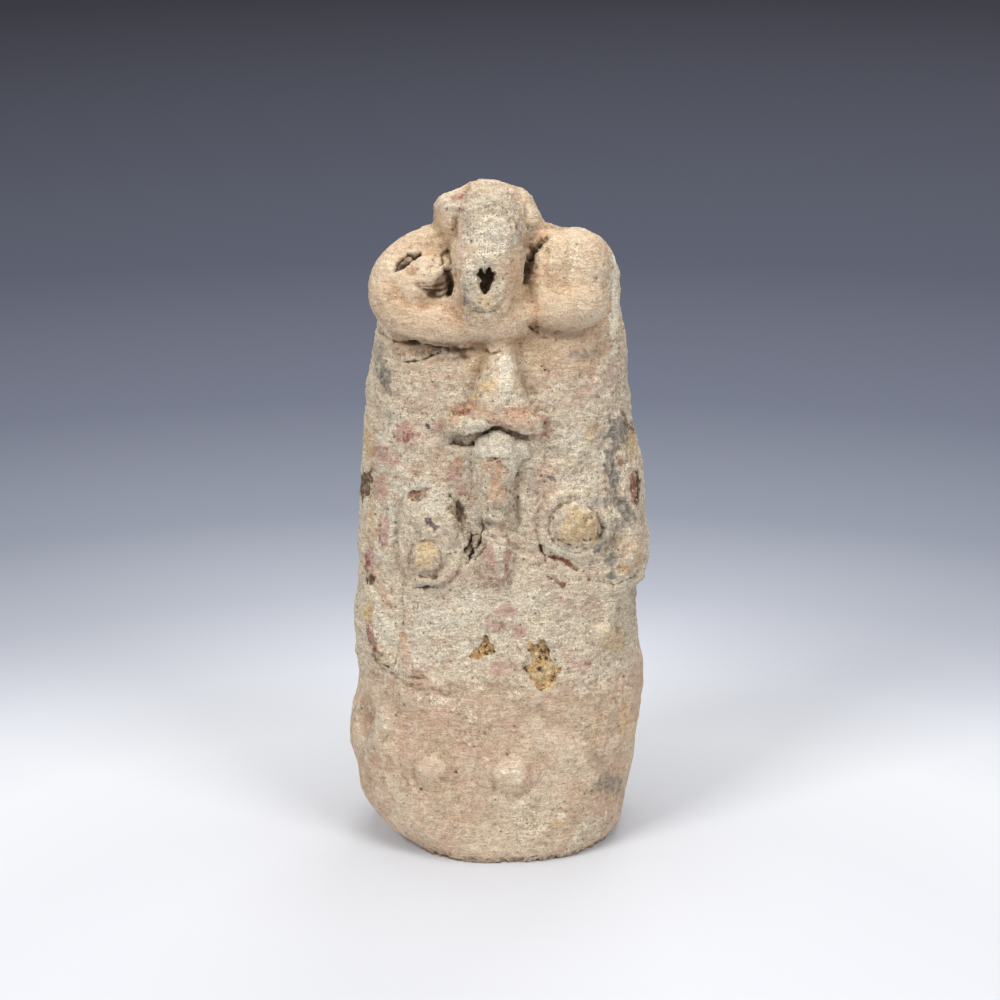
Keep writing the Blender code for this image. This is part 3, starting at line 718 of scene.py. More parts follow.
# Brown dirt and painted shade lie under the shell ear and round its swirl.
clay.stain("dirt_and_shade", 0.42 * oval((432, 354), 22, 4.4, 8, edge=0.9, ragged=0.6).everywhere())
clay.stain("dirt_and_shade", 0.26 * oval((420, 270), 15, 10, -12, edge=0.9, ragged=0.5).everywhere())
press(stroke(((369, 604), (368, 630), (376, 656)), 2.4), 0.7, 0.2)
TORN_PATCHES = (
    # The corners, the lean in degrees, the depth in millimetres, the dirt and painted shade, and the seed.
    (((446, 494), (454, 492), (462, 502), (467, 516), (465, 530), (459, 536), (453, 526),
     (449, 510)), 14, 1.3, 0.5, 14),
    (((446, 538), (458, 536), (466, 545), (462, 558), (450, 552)), 14, 0.9, 0.5, 15),
    (((405, 499), (411, 491), (421, 487), (431, 488), (428, 495), (420, 500), (411, 503)),
     -65, 0.7, 0.35, 17),
    (((378, 606), (392, 604), (397, 630), (392, 650), (380, 650)), 4, 0.5, 0.15, 18),
    (((606, 470), (616, 468), (622, 500), (624, 540), (612, 545), (606, 510)), -8, 0.7, 0.3, 19),
    (((538, 560), (556, 566), (560, 590), (545, 596), (530, 580)), 30, 0.5, 0.2, 22),
)
for corners, lean, depth, dirt_and_shade, seed in TORN_PATCHES:
    tear(corners, lean, depth, dirt_and_shade, seed)
PURPLE_FLAKE = (
    (424.5, 518), (428, 517), (431.7, 517.5), (431, 521.3), (435.6, 523.6), (442.4, 526), (437.8, 529),
    (434, 531.3), (431.7, 527.4), (426.4, 524.4), (424.8, 521.3),
)
flake_spot = inside(PURPLE_FLAKE, soft=0.5, ragged=0.2)
press(flake_spot, 0.5)
clay.stain("violet", flake_spot.everywhere())
clay.turn()
print("boss and flank strokes:", len(BOSSES_AND_FLANKS))

# %% [markdown]
# The foot is plain: two worn pellets, a thumb hollow at its left end, and hair cracks where the clay dried
# unevenly.

# %% The foot
FOOT_STROKES = (
    (((398, 712), (420, 711), (445, 712), (468, 718)), 1.0, 0.3, 0.3),
    (((440, 722), (452, 724), (462, 730), (470, 741)), 0.9, 0.25, 0.2),
    (((487, 756), (492, 742), (502, 734), (516, 733), (528, 740)), 1.1, 0.35, 0.12),
    (((430, 688), (470, 684), (520, 690), (560, 700)), 2.6, 0.4, 0.0),
    (((496, 774), (506, 772), (513, 770), (524, 772)), 1.1, 0.6, 0.6),
    (((500, 768), (507, 772)), 0.9, 0.4, 0.4),
    (((450, 755), (456, 770), (452, 790)), 2.4, 0.4, 0.0),
    (((490, 757), (488, 772), (494, 790)), 3.0, 0.7, 0.12),
    (((534, 760), (537, 778), (531, 792), (518, 798)), 2.4, 0.5, 0.05),
    (((414, 760), (412, 776), (420, 790)), 2.2, 0.4, 0.05),
    (((432, 790), (440, 794), (450, 788)), 1.6, 0.4, 0.3),
    (((560, 806), (564, 812)), 1.6, 0.6, 0.6),
)
press_strokes(FOOT_STROKES)
THUMB_HOLLOW = (364, 716)
press(oval(THUMB_HOLLOW, 4.0, 10.0, 8, edge=1.0), 0.3)
LEFT_PELLET = (431, 774)
press(oval(LEFT_PELLET, 6.0, 7.0, edge=0.6), 0.3)
press(ring(LEFT_PELLET, 7.4, 8.4, 2.6), 0.5, 0.08)
RIGHT_PELLET = (511, 775)
press(oval(RIGHT_PELLET, 6.0, 6.4, edge=0.5), 0.3)
press(ring(RIGHT_PELLET, 8.6, 9.4, 2.2), 0.5, 0.1)
press(stroke(((478, 758), (474, 774), (479, 790)), 3.0), 0.9, 0.14)
clay.turn()
print("foot strokes:", len(FOOT_STROKES))

# %% [markdown]
# Where the slip has flaked off with a skin of clay, the surface drops by about a millimetre, and straw
# shows in the floor of the flake. A patch is an outline of a few pixels, and its floor is blotched and
# combed.

# %% Flaked patches
FLAKES = (
    (
        (485, 636), (491, 641), (497, 652), (493, 654), (487, 656), (478, 660), (466, 657), (474, 650),
        (481, 645),
    ),
    (
        (524, 646), (530, 641), (536, 645), (543, 639), (549, 646), (551, 656), (557, 668), (562, 667),
        (557, 680), (548, 690), (541, 692), (535, 686), (529, 676), (522, 668), (532, 662), (529, 653),
    ),
)
STRAW_SIZE = 1.5 * MM
STRAW_LEAN = 35
for corners in FLAKES:
    patch = inside(corners, soft=0.6, ragged=0.5)
    clay.stain("flake", patch.everywhere())
    press(patch, 0.8)
    press(Mark(patch.chosen, patch.strength * combed(patch, STRAW_SIZE, STRAW_LEAN, 21, 3.0)), 0.6)
clay.turn()
print("flaked patches:", len(FLAKES))

# %% [markdown]
# Now the burial. The pale slip stands a hair above bare clay, so its ragged edge shows. The knob, the chest
# and the right flank are coarse and pitted. The foot and the ears were wiped smooth and stay finer. Each
# zone is a mask worked out from height, from ovals placed by pixels and from bumps that break its edge.

# %% Where the slip, the coarse ground and the wiped clay lie
SLIP_TOP = 216
SLIP_RISE = 20
SLIP_FOOT = 82
EDGE_START = 47
x, y, z = clay.points.T
height = z / MM
breakup = rough(clay.points, 24 * MM, 31)
fine_breakup = rough(clay.points, 7 * MM, 35)
slip_top = SLIP_TOP + SLIP_RISE * ramp(np.abs(x) / MM, 30, 52)
slip = ramp(slip_top + 22 * breakup + 14 * fine_breakup - height, -16, 16)
slip *= ramp(height - SLIP_FOOT - 14 * breakup - 12 * fine_breakup, -12, 12)
right_edge = ramp(x / MM - EDGE_START + 5 * fine_breakup, 0, 6) * ramp(height, 225, 240)
slip = np.maximum(slip, 0.9 * right_edge)
foot_patches = ramp(breakup + 0.5 * fine_breakup, 0.25, 0.55) * ramp(-height, -80, -70)
slip = np.maximum(slip, 0.55 * foot_patches)
knob = oval((492, 222), 19, 21, edge=0.4, ragged=0.3).everywhere()
knob = np.maximum(knob, 0.85 * oval((482, 288), 11.5, 15, edge=0.4, ragged=0.4).everywhere())
knob = np.maximum(knob, 0.7 * oval((450, 205), 6, 7, edge=0.6, ragged=0.4).everywhere())
back_of_head = ramp(height, 262, 284) * (1 - clay.facing)
knob = np.maximum(knob, 0.7 * back_of_head * ramp(breakup, -0.4, 0.4))
clay.stain("slip", slip)
clay.stain("knob", knob)
clay.stain("warm", ramp(height + 10 * breakup, 205, 228))
coarse = np.clip(0.35 + 0.65 * slip + 0.6 * knob, 0, 1)
for name, zone in (("slip", slip), ("knob", knob)):
    print("share of the skin under", name, round(float(zone.mean()), 3))

# %% [markdown]
# The roughness goes on in three sizes. Crust is made by folding the bumps at zero, which leaves sharp
# little valleys between rounded lumps, as lime crust and worn grog do.

# %% The rough surface of each zone
# Each kind of bump has a size, a height on coarse ground and a height everywhere, in millimetres.
LUMPS = (6.0, 0.55, 0.28)
CRUST = (3.2, 0.40, 0.06)
GRAINS = (1.6, 0.34, 0.10)
KNOB_LUMPS = (2.4, 0.55)
RIM_CRUMBS = (3.4, 2.2)
UNDERCUT = 1.8
crust = 1 - 2.2 * np.abs(rough(clay.points, CRUST[0] * MM, 45, sizes=2))
calm = 0.45 + 0.55 * clay.facing
clay.push((LUMPS[1] * coarse + LUMPS[2]) * MM * rough(clay.points, LUMPS[0] * MM, 41))
clay.push((CRUST[1] * coarse + CRUST[2]) * calm * MM * crust)
clay.push((GRAINS[1] * coarse + GRAINS[2]) * calm * MM * bumps(clay.points, GRAINS[0] * MM, 49))
clay.push(KNOB_LUMPS[1] * knob * calm * MM * bumps(clay.points, KNOB_LUMPS[0] * MM, 59))
clay.push(0.12 * MM * ramp(fine_breakup + 0.4 * crust, -0.1, 0.2) * slip)
rim = ramp(-height, -8, -1)
clay.push(-np.abs(rough(clay.points, RIM_CRUMBS[0] * MM, 55)) * RIM_CRUMBS[1] * MM * rim)
clay.push(-UNDERCUT * MM * ramp(-height, -3.0, -0.8) * ramp(clay.outward[:, 2], -0.6, 0.0))
# A thin dark line along the foot's lowest rim is painted shadow, where the rim stands off the floor.
clay.stain("dirt_and_shade", 0.85 * ramp(-height, -1.8, -1.0) * ramp(fine_breakup, -1.2, -0.4))
clay.turn()
print("crust swings from", round(float(crust.min()), 2), "to", round(float(crust.max()), 2))

# %% [markdown]
# Straw was kneaded into the clay and burned out in the kiln, and left prints 3 to 9 mm long. Grit dropped
# out and left pits. Both are scattered by a seeded draw over the skin's points, more of them on the coarse
# ground, and each touches only the points close to it, which a tree of neighbours finds.

# %% Straw prints and pits
draw = np.random.default_rng(2024)
STRAWS = 300
PITS = 1400
STRAW_LENGTH = (3.0, 9.0)
STRAW_WIDTH = (0.8, 1.2)
PIT_REACH = (0.5, 1.1)


def neighbour_tree(points):
    """A tree that finds the points close to a place."""
    tree = KDTree(len(points))
    for index, point in enumerate(points):
        tree.insert(point, index)
    tree.balance()
    return tree


tree = neighbour_tree(clay.points)


def neighbours(point, reach):
    """The indices of the skin's points within reach."""
    return np.array([index for _, index, _ in tree.find_range(point, reach)], int)


def scatter(count, chance):
    """Seeded picks of skin points, more of them where the chance is high."""
    share = np.cumsum(chance)
    return np.searchsorted(share, draw.uniform(0, share[-1], count))


depths = np.zeros(len(clay.points))
prints = np.zeros(len(clay.points))
for pick in scatter(STRAWS, 0.1 + coarse):
    centre, outward = clay.points[pick], clay.outward[pick]
    lie = np.cross(outward, draw.normal(size=3))
    lie /= np.linalg.norm(lie)
    half = draw.uniform(*STRAW_LENGTH) / 2 * MM
    width = draw.uniform(*STRAW_WIDTH) * MM
    chosen = neighbours(centre, half + width)
    away = clay.points[chosen] - centre
    along = away @ lie
    aside = np.linalg.norm(away - along[:, None] * lie, axis=1)
    aside += 0.3 * width * bumps(clay.points[chosen], WAVER / 2, 3)
    strength = np.exp(-((aside / (width / 2)) ** 2)) * ramp(half - np.abs(along), 0, half / 2)
    depths[chosen] = np.maximum(depths[chosen], strength * draw.uniform(0.15, 0.5))
    prints[chosen] = np.maximum(prints[chosen], strength * draw.uniform(0.2, 1.0))
for pick in scatter(PITS, 0.3 + 0.6 * coarse + 0.8 * knob):
    centre = clay.points[pick]
    reach = draw.uniform(*PIT_REACH) * MM
    chosen = neighbours(centre, reach * 1.5)
    away = np.linalg.norm(clay.points[chosen] - centre, axis=1) / reach
    away += 0.4 * bumps(clay.points[chosen], WAVER / 2, 4)
    strength = np.exp(-np.clip(away, 0, None) ** 2 * 1.6)
    depths[chosen] = np.maximum(depths[chosen], strength * draw.uniform(0.2, 0.7))
    clay.stains["dirt_and_shade"][chosen] = np.maximum(clay.stains["dirt_and_shade"][chosen], strength * draw.uniform(0.1, 0.8))
clay.push(-depths * MM)
clay.stain("straw", prints)
clay.turn()
print("straw prints:", STRAWS, "pits:", PITS)

# %% [markdown]
# The figure was once painted. What is left is a pink wash, rust and red smears, ochre on the pellets, grey
# soot and blue-grey on the right shoulder, brown where resin or bark clung, and cream. Some grey and brown
# ovals are painted shade instead, beside the ridge, round the oval boss and under the shell ear, and the
# cream is partly painted light. Each is a short list of ovals: the pixel of its middle, its reaches in
# millimetres, its lean in degrees, and its strength.

# %% Traces of colour
TRACES = {
    "pink": (
        ((408, 437), 7, 5, 20, 0.9), ((384, 455), 6, 9, 60, 0.6), ((402, 425), 5, 3, 10, 0.6),
        ((383, 535), 3, 10, 0, 0.7), ((370, 560), 3, 9, 0, 0.9), ((455, 470), 6, 7, 0, 0.6),
        ((462, 490), 4, 6, 30, 0.5), ((490, 560), 3, 10, 12, 0.9), ((507, 560), 1.6, 10, -4, 1.0),
        ((495, 582), 6, 2, 0, 0.8), ((505, 612), 8, 3, 10, 0.6), ((497, 624), 7, 4, 0, 0.6),
        ((520, 630), 6, 3, 0, 0.6), ((560, 600), 9, 4, 0, 0.4), ((545, 420), 4, 3, 0, 0.6),
        ((542, 435), 4, 2, 0, 0.7), ((505, 412), 8, 3, 0, 0.5), ((500, 668), 14, 4, 0, 0.5),
        ((580, 665), 9, 5, 0, 0.45), ((428, 570), 4, 2, 0, 0.8), ((378, 488), 4, 8, 0, 0.5),
        ((583, 395), 12, 5, 20, 0.35), ((610, 375), 5, 9, 0, 0.4), ((430, 395), 12, 4, 30, 0.3),
        ((610, 470), 3, 8, 0, 0.4), ((438, 428), 5, 4, 0, 0.5), ((480, 444), 4, 2, 0, 0.3),
        ((462, 214), 3, 8, 0, 0.25), ((460, 252), 2, 6, 0, 0.4),
    ),
    "red": (
        ((457, 196.5), 3.0, 1.8, 0, 1.0), ((372, 640), 2.0, 9, 18, 0.9), ((367, 565), 1.6, 5, 0, 0.9),
        ((408, 440), 3.2, 2.6, 30, 0.5), ((556, 558), 6.5, 1.5, -14, 1.0), ((567, 563), 4, 1.3, -28, 0.9),
        ((541, 550), 0.9, 3.2, 20, 0.8), ((562, 585), 2.2, 1.4, 0, 1.0), ((552, 579), 3.4, 0.9, -25, 0.8),
        ((635, 488), 2.6, 9, 0, 1.0), ((466, 412), 5, 2.2, 10, 0.5), ((505, 426), 4, 1.4, 0, 0.5),
        ((380, 540), 1.4, 3, 0, 0.6), ((415, 684), 5, 1.3, 12, 0.6), ((487, 536), 2, 1, 0, 0.4),
        ((588, 664), 2, 1.4, 0, 0.5), ((620, 462), 2, 3, 0, 0.6), ((545, 434), 2.2, 1.4, 0, 0.35),
        ((530, 430), 3, 1.2, 20, 0.4),
    ),
    "rust": (
        ((496, 474), 6, 8, 0, 1.0), ((497, 495), 5.5, 7, 0, 0.8), ((466, 408), 8, 4.5, 20, 0.8),
        ((520, 414), 10, 5, 0, 0.8), ((530, 426), 7, 3.5, 0, 0.7), ((493, 466), 5, 4, 0, 0.7),
        ((385, 600), 3, 10, 0, 0.5), ((405, 655), 3, 7, 0, 0.5), ((372, 480), 4, 12, 0, 0.4),
        ((456, 462), 4, 5, 20, 0.5), ((416, 495), 5, 1.6, 20, 0.9), ((510, 272), 4, 4, 0, 0.45),
        ((561, 562), 12, 4, 20, 0.3), ((545, 230), 5, 5, 0, 0.4), ((395, 770), 5, 5, 0, 0.35),
        ((420, 715), 12, 4, 0, 0.35), ((474, 500), 2, 6, 0, 0.4), ((500, 420), 8, 4, 0, 0.6),
        ((526, 480), 2, 4, 0, 0.4), ((529, 492), 2, 3, 0, 0.4), ((534, 325), 3, 2, 0, 0.6),
        ((402, 256), 5, 2.5, 30, 0.35), ((440, 290), 5, 4, 20, 0.4), ((432, 285), 8, 4, 20, 0.25),
        ((372, 455), 3, 10, 0, 0.5), ((385, 490), 3, 12, 0, 0.5), ((378, 575), 2.6, 10, 0, 0.5),
        ((430, 364), 18, 4, 8, 0.35), ((400, 345), 12, 3, 10, 0.4), ((415, 470), 5, 4, 0, 0.4),
        ((440, 455), 5, 6, 20, 0.4), ((404, 640), 2.4, 9, 0, 0.5), ((404, 292), 16, 20, 0, 0.28),
        ((484, 412), 9, 3.4, 0, 0.6), ((448, 424), 5, 4, 30, 0.5), ((458, 412), 6, 3, 30, 0.5),
        ((546, 428), 3, 5, 0, 0.5), ((500, 530), 4, 4, 0, 0.4), ((420, 318), 14, 6, 0, 0.25),
        ((400, 300), 8, 10, 0, 0.25), ((540, 310), 6, 8, 0, 0.3),
    ),
    "ochre": (
        ((576, 526), 10.6, 10.6, 0, 1.0), ((425, 557), 6.6, 7.0, 0, 1.0), ((488, 388), 5, 4, 20, 0.9),
        ((476, 396), 3, 2, 0, 0.6), ((485, 300), 5, 5, 0, 0.5), ((622, 568), 5, 3.5, 0, 0.8),
        ((639, 558), 2, 4, 0, 0.9), ((632, 440), 5, 10, 0, 0.6), ((622, 545), 7, 7, 0, 0.35),
        ((370, 520), 4, 16, 0, 0.45), ((366, 440), 4, 14, 0, 0.5), ((368, 610), 3, 8, 0, 0.7),
        ((610, 640), 8, 8, 0, 0.5), ((592, 430), 5, 7, 0, 0.4), ((380, 655), 4, 6, 0, 0.4),
        ((598, 725), 4, 14, 0, 0.25), ((625, 720), 4, 12, 0, 0.4), ((558, 820), 2.4, 2.4, 0, 0.5),
        ((480, 192), 8, 2, 0, 0.35),
    ),
    # Some grey ovals are painted shade: on the ridge's right side, under the oval boss and beside it.
    "soot_and_shade": (
        ((618, 428), 6.5, 10, 0, 0.9), ((612, 475), 3.4, 12, 8, 0.75), ((612, 490), 2.6, 5, 20, 0.8),
        ((622, 508), 3, 7, 10, 0.8), ((627, 518), 4, 7, 0, 0.6), ((384, 375), 4, 10, 20, 0.7),
        ((378, 350), 3, 6, 0, 0.45), ((516, 512), 4, 10, 0, 0.25), ((533, 485), 4, 10, 10, 0.4),
        ((551, 478), 2.2, 1.4, -30, 1.0), ((603, 534), 1.6, 6, -8, 0.9), ((597, 550), 3, 2, 40, 0.9),
        ((610, 562), 5, 5, 0, 0.6), ((610, 575), 4, 2, 0, 0.7), ((610, 540), 6, 10, 0, 0.3),
        ((458, 520), 3, 8, -20, 0.5), ((456, 545), 4, 4, 0, 0.4), ((436, 583), 10, 2.6, 0, 0.3),
        ((430, 594), 14, 2.6, 0, 0.25), ((494, 238), 7, 4, 0, 0.4), ((468, 222), 2.4, 5, 0, 0.4),
        ((497, 262), 6, 3, 0, 0.3), ((466, 296), 2.4, 7, 0, 0.6), ((478, 310), 4, 2, 0, 0.5),
        ((585, 355), 10, 4, 0, 0.45), ((610, 785), 8, 7, 0, 0.5), ((600, 760), 5, 6, 0, 0.35),
        ((390, 415), 6, 6, 0, 0.3), ((428, 427), 1.6, 1.4, 0, 0.7), ((450, 780), 4, 3, 0, 0.25),
        ((633, 600), 3, 16, 0, 0.35), ((370, 740), 5, 8, 0, 0.3), ((485, 524), 5, 3, 0, 0.5),
        ((500, 506), 5, 4, 0, 0.4), ((397, 520), 2, 10, 0, 0.3), ((600, 500), 6, 3, 0, 0.4),
    ),
    # Some brown ovals are painted shade: under the shell ear, in its recess and beside the oval boss.
    "bark_and_shade": (
        ((364, 484), 3.6, 8, 0, 1.0), ((370, 478), 2.0, 5, 0, 0.8), ((372, 580), 3.0, 3.2, 0, 0.9),
        ((378, 657), 3, 3, 0, 0.4), ((637, 488), 2.0, 9, 0, 0.7), ((412, 500), 1.6, 0.8, 25, 0.5),
        ((632, 425), 2.4, 5, 0, 0.5), ((545, 560), 1.2, 1.0, 0, 0.8), ((562, 586), 1.4, 0.9, 0, 0.8),
        ((424, 350), 22, 3.4, 8, 0.3), ((404, 292), 18, 22, 0, 0.2), ((446, 362), 12, 3, 4, 0.25),
        ((437, 288), 6, 3, 20, 0.4), ((408, 258), 5, 2.4, 30, 0.3), ((458, 514), 4, 9, 14, 0.45),
        ((533, 256), 2, 9, 12, 0.5), ((612, 548), 3, 3, 0, 0.3), ((472, 540), 3, 8, 20, 0.4),
    ),
    "violet": (
        ((428, 427), 1.8, 1.6, 0, 0.8), ((568, 546), 2.0, 1.2, 0, 0.8), ((541, 641), 1.8, 1.4, 0, 0.6),
        ((408, 257), 1.6, 1.2, 30, 0.8), ((606, 478), 1.2, 2, 0, 0.5), ((448, 490), 2, 4, 0, 0.25),
    ),
    # Cream over the panel is painted light where the lip's shadow falls; on the flare and the left flank it
    # is partly painted light.
    "cream_and_painted_light": (
        ((494, 446), 9, 5, 0, 1.0), ((510, 465), 3, 8, 0, 0.7), ((477, 426), 6, 3, 0, 0.8),
        ((381, 438), 3.2, 4.2, 0, 1.0), ((498, 391), 6, 3, 0, 0.6), ((506, 368), 5, 9, 0, 0.6),
        ((575, 440), 10, 10, 0, 0.45), ((562, 552), 9, 2.6, -16, 0.9), ((490, 615), 22, 8, 0, 0.4),
        ((440, 620), 16, 12, 0, 0.5), ((606, 634), 6, 6, 0, 0.7), ((590, 500), 10, 4, 0, 0.5),
        ((600, 455), 3, 5, 0, 0.7), ((432, 505), 6, 6, 0, 0.55), ((404, 470), 8, 8, 0, 0.4),
        ((505, 771), 2.2, 1.2, 20, 0.8), ((517, 772), 2.6, 1.2, -15, 0.8), ((519, 780), 1.4, 2.0, 0, 0.6),
        ((420, 655), 12, 8, 0, 0.4), ((490, 240), 12, 12, 0, 0.5), ((470, 275), 5, 10, 0, 0.4),
        ((614, 300), 3, 26, 0, 0.8), ((490, 395), 4, 3, 0, 0.6), ((560, 816), 2.4, 2, 0, 0.9),
        ((474, 470), 1.6, 14, 4, 0.5), ((440, 700), 14, 3, 0, 0.35), ((500, 545), 3, 5, 0, 0.4),
        ((424, 600), 12, 4, 0, 0.4), ((572, 255), 12, 8, 0, 0.3), ((388, 510), 5, 22, 0, 0.6),
        ((372, 545), 4, 16, 0, 0.5), ((384, 625), 5, 14, 0, 0.6), ((392, 420), 5, 7, 0, 0.5),
        ((540, 600), 20, 7, 0, 0.4), ((410, 485), 10, 5, 0, 0.5), ((475, 500), 2, 16, 2, 0.6),
        ((530, 480), 3, 14, 0, 0.4), ((580, 480), 12, 6, 0, 0.4), ((505, 385), 7, 9, 0, 0.5),
        ((470, 600), 12, 5, 0, 0.5), ((390, 460), 4, 4, 0, 0.5), ((368, 510), 5, 24, 0, 0.6),
        ((372, 605), 4, 12, 0, 0.5), ((480, 650), 20, 6, 0, 0.4), ((500, 640), 14, 4, 0, 0.3),
        ((503, 372), 5, 12, 0, 0.5), ((500, 446), 11, 4.4, 0, 0.8), ((378, 540), 4, 30, 0, 0.6),
        ((374, 470), 5, 14, 0, 0.5),
    ),
}
for name, ovals in TRACES.items():
    clay.stain(name, np.zeros(len(clay.points)))
    for centre, across, up, lean, strength in ovals:
        clay.stain(name, strength * oval(centre, across, up, lean, edge=0.5, ragged=0.45).everywhere())
    print("trace of", name, "in", len(ovals), "ovals")

# %% [markdown]
# The far side doesn't show in the photograph, so it gets the same kinds of trace from bumps, thinner and
# plainer.

# %% The far side's traces
FAR_TRACES = (
    # The stain, how high the bumps have to be, and its strength.
    ("pink", 0.40, 0.5), ("rust", 0.45, 0.5), ("soot_and_shade", 0.40, 0.5), ("ochre", 0.45, 0.5),
    ("cream_and_painted_light", 0.25, 0.6),
)
FAR_SIZE = 26 * MM
far = 1 - clay.facing
for place_in_row, (name, least, most) in enumerate(FAR_TRACES):
    drift = rough(clay.points, FAR_SIZE, 70 + 5 * place_in_row)
    clay.stain(name, most * far * ramp(drift, least - 0.25, least + 0.1))
print("traces on the far side:", [name for name, _, _ in FAR_TRACES])

# %% [markdown]
# The solid is the figure's true size, so no bump may stand outside its box, and the foot has to stay flat
# where it stands. The finished skin is then thinned to just under 200,000 triangles. The thinning takes
# flat stretches first, so the rough front keeps most of its points. Stains are carried over from the
# nearest old point.

# %% Keep to the solid's box and thin the skin
MOST_TRIANGLES = 198000
FOOT_FLAT = 0.9 * MM
clay.points = np.clip(clay.points, np.array(solid_low), np.array(solid_high))
clay.points[clay.points[:, 2] < FOOT_FLAT, 2] = solid_low.z
clay.turn()
old_points, old_stains = clay.points.copy(), clay.stains
thin = figure.modifiers.new("thin", "DECIMATE")
thin.ratio = MOST_TRIANGLES / (2 * len(figure.data.polygons))
thin.use_collapse_triangulate = True
take_modifiers(figure)
clay = Clay(figure.data)
clay.points = np.clip(clay.points, np.array(solid_low), np.array(solid_high))
clay.turn()
tree = neighbour_tree(old_points)
nearest = np.array([tree.find(point)[1] for point in clay.points])
for name, amounts in old_stains.items():
    clay.stain(name, amounts[nearest])
print("triangles:", len(figure.data.polygons), "points:", len(clay.points))

# %% [markdown]
# Hollows are darkened, as settled dirt and as painted shade, and edges are lightened, as handling polish and
# as painted highlight. Both follow from the shape alone: where the mean of the neighbours lies outward of a
# point, the point is in a hollow. Spreading that measure over more and more neighbours finds hollows of
# larger and larger size.

# %% Hollows and edges
def hollows(passes):
    """How far each point lies below its surroundings in millimetres. More passes take in more of them."""
    smooth = clay.points.copy()
    for _ in range(passes):
        smooth += 0.8 * (clay.around(smooth) - smooth)
    return np.sum((smooth - clay.points) * clay.outward, axis=1) / MM


small_hollows = hollows(3)
wide_hollows = hollows(30)
# Darkening in hollows is dirt and painted shade; lightening on edges is wear and painted highlight.
shade_and_grime_in_hollows = ramp(small_hollows, 0.05, 0.35) * 0.4 + ramp(wide_hollows, 0.2, 1.4)
wear_and_painted_highlight = ramp(-small_hollows, 0.02, 0.2) * 0.6 + ramp(-wide_hollows, 0.1, 0.8) * 0.7
clay.stain("hollow", np.clip(shade_and_grime_in_hollows, 0, 1))
clay.stain("edge", np.clip(wear_and_painted_highlight, 0, 1))
print("the deepest hollow is", round(float(wide_hollows.max()), 2), "mm below what lies round it")
for name, amounts in clay.stains.items():
    layer = figure.data.attributes.new(name, "FLOAT", "POINT")
    layer.data.foreach_set("value", np.clip(amounts, 0, 1).astype(np.float32))
figure.data.shade_smooth()
print("stains kept with the mesh:", sorted(clay.stains))

# %% [markdown]
# Shader maths is easier to read as sums than as boxes and lines. Wire wraps a socket, and each operator on
# it adds a Math node. Finish owns one material: it adds any other node by type, settings and sockets, and
# blends colours.

# %% A socket that can be added, multiplied and compared
COLOUR_A, COLOUR_B = 6, 7
COLOUR_OUT = 2


class Wire:
    """A shader socket that takes part in Python sums."""

    def __init__(self, finish, socket):
        self.finish = finish
        self.socket = socket

    def maths(self, operation, *values, clamp=False):
        """One Math node on these values."""
        sockets = dict(enumerate(values))
        return self.finish.add("ShaderNodeMath", {"operation": operation, "use_clamp": clamp}, sockets)

    def __add__(self, other):
        return self.maths("ADD", self, other)

    __radd__ = __add__

    def __mul__(self, other):
        return self.maths("MULTIPLY", self, other)

    __rmul__ = __mul__

    def __sub__(self, other):
        return self.maths("SUBTRACT", self, other)

    def __rsub__(self, other):
        return self.maths("SUBTRACT", other, self)

    def __truediv__(self, other):
        return self.maths("DIVIDE", self, other)

    def clamp(self):
        """This value kept between 0 and 1."""
        return self.maths("ADD", self, 0.0, clamp=True)

    def unsigned(self):
        """This value without its sign."""
        return self.maths("ABSOLUTE", self)

    def stronger(self, other):
        """The larger of this and another value."""
        return self.maths("MAXIMUM", self, other)

    def between(self, low, high):
        """0 below low, 1 above high and smooth between."""
        settings = {"interpolation_type": "SMOOTHSTEP"}
        sockets = {"Value": self, "From Min": low, "From Max": high}
        return self.finish.add("ShaderNodeMapRange", settings, sockets)


SWING = 5.0
OFFSET = (0.31, 0.17, 0.23)


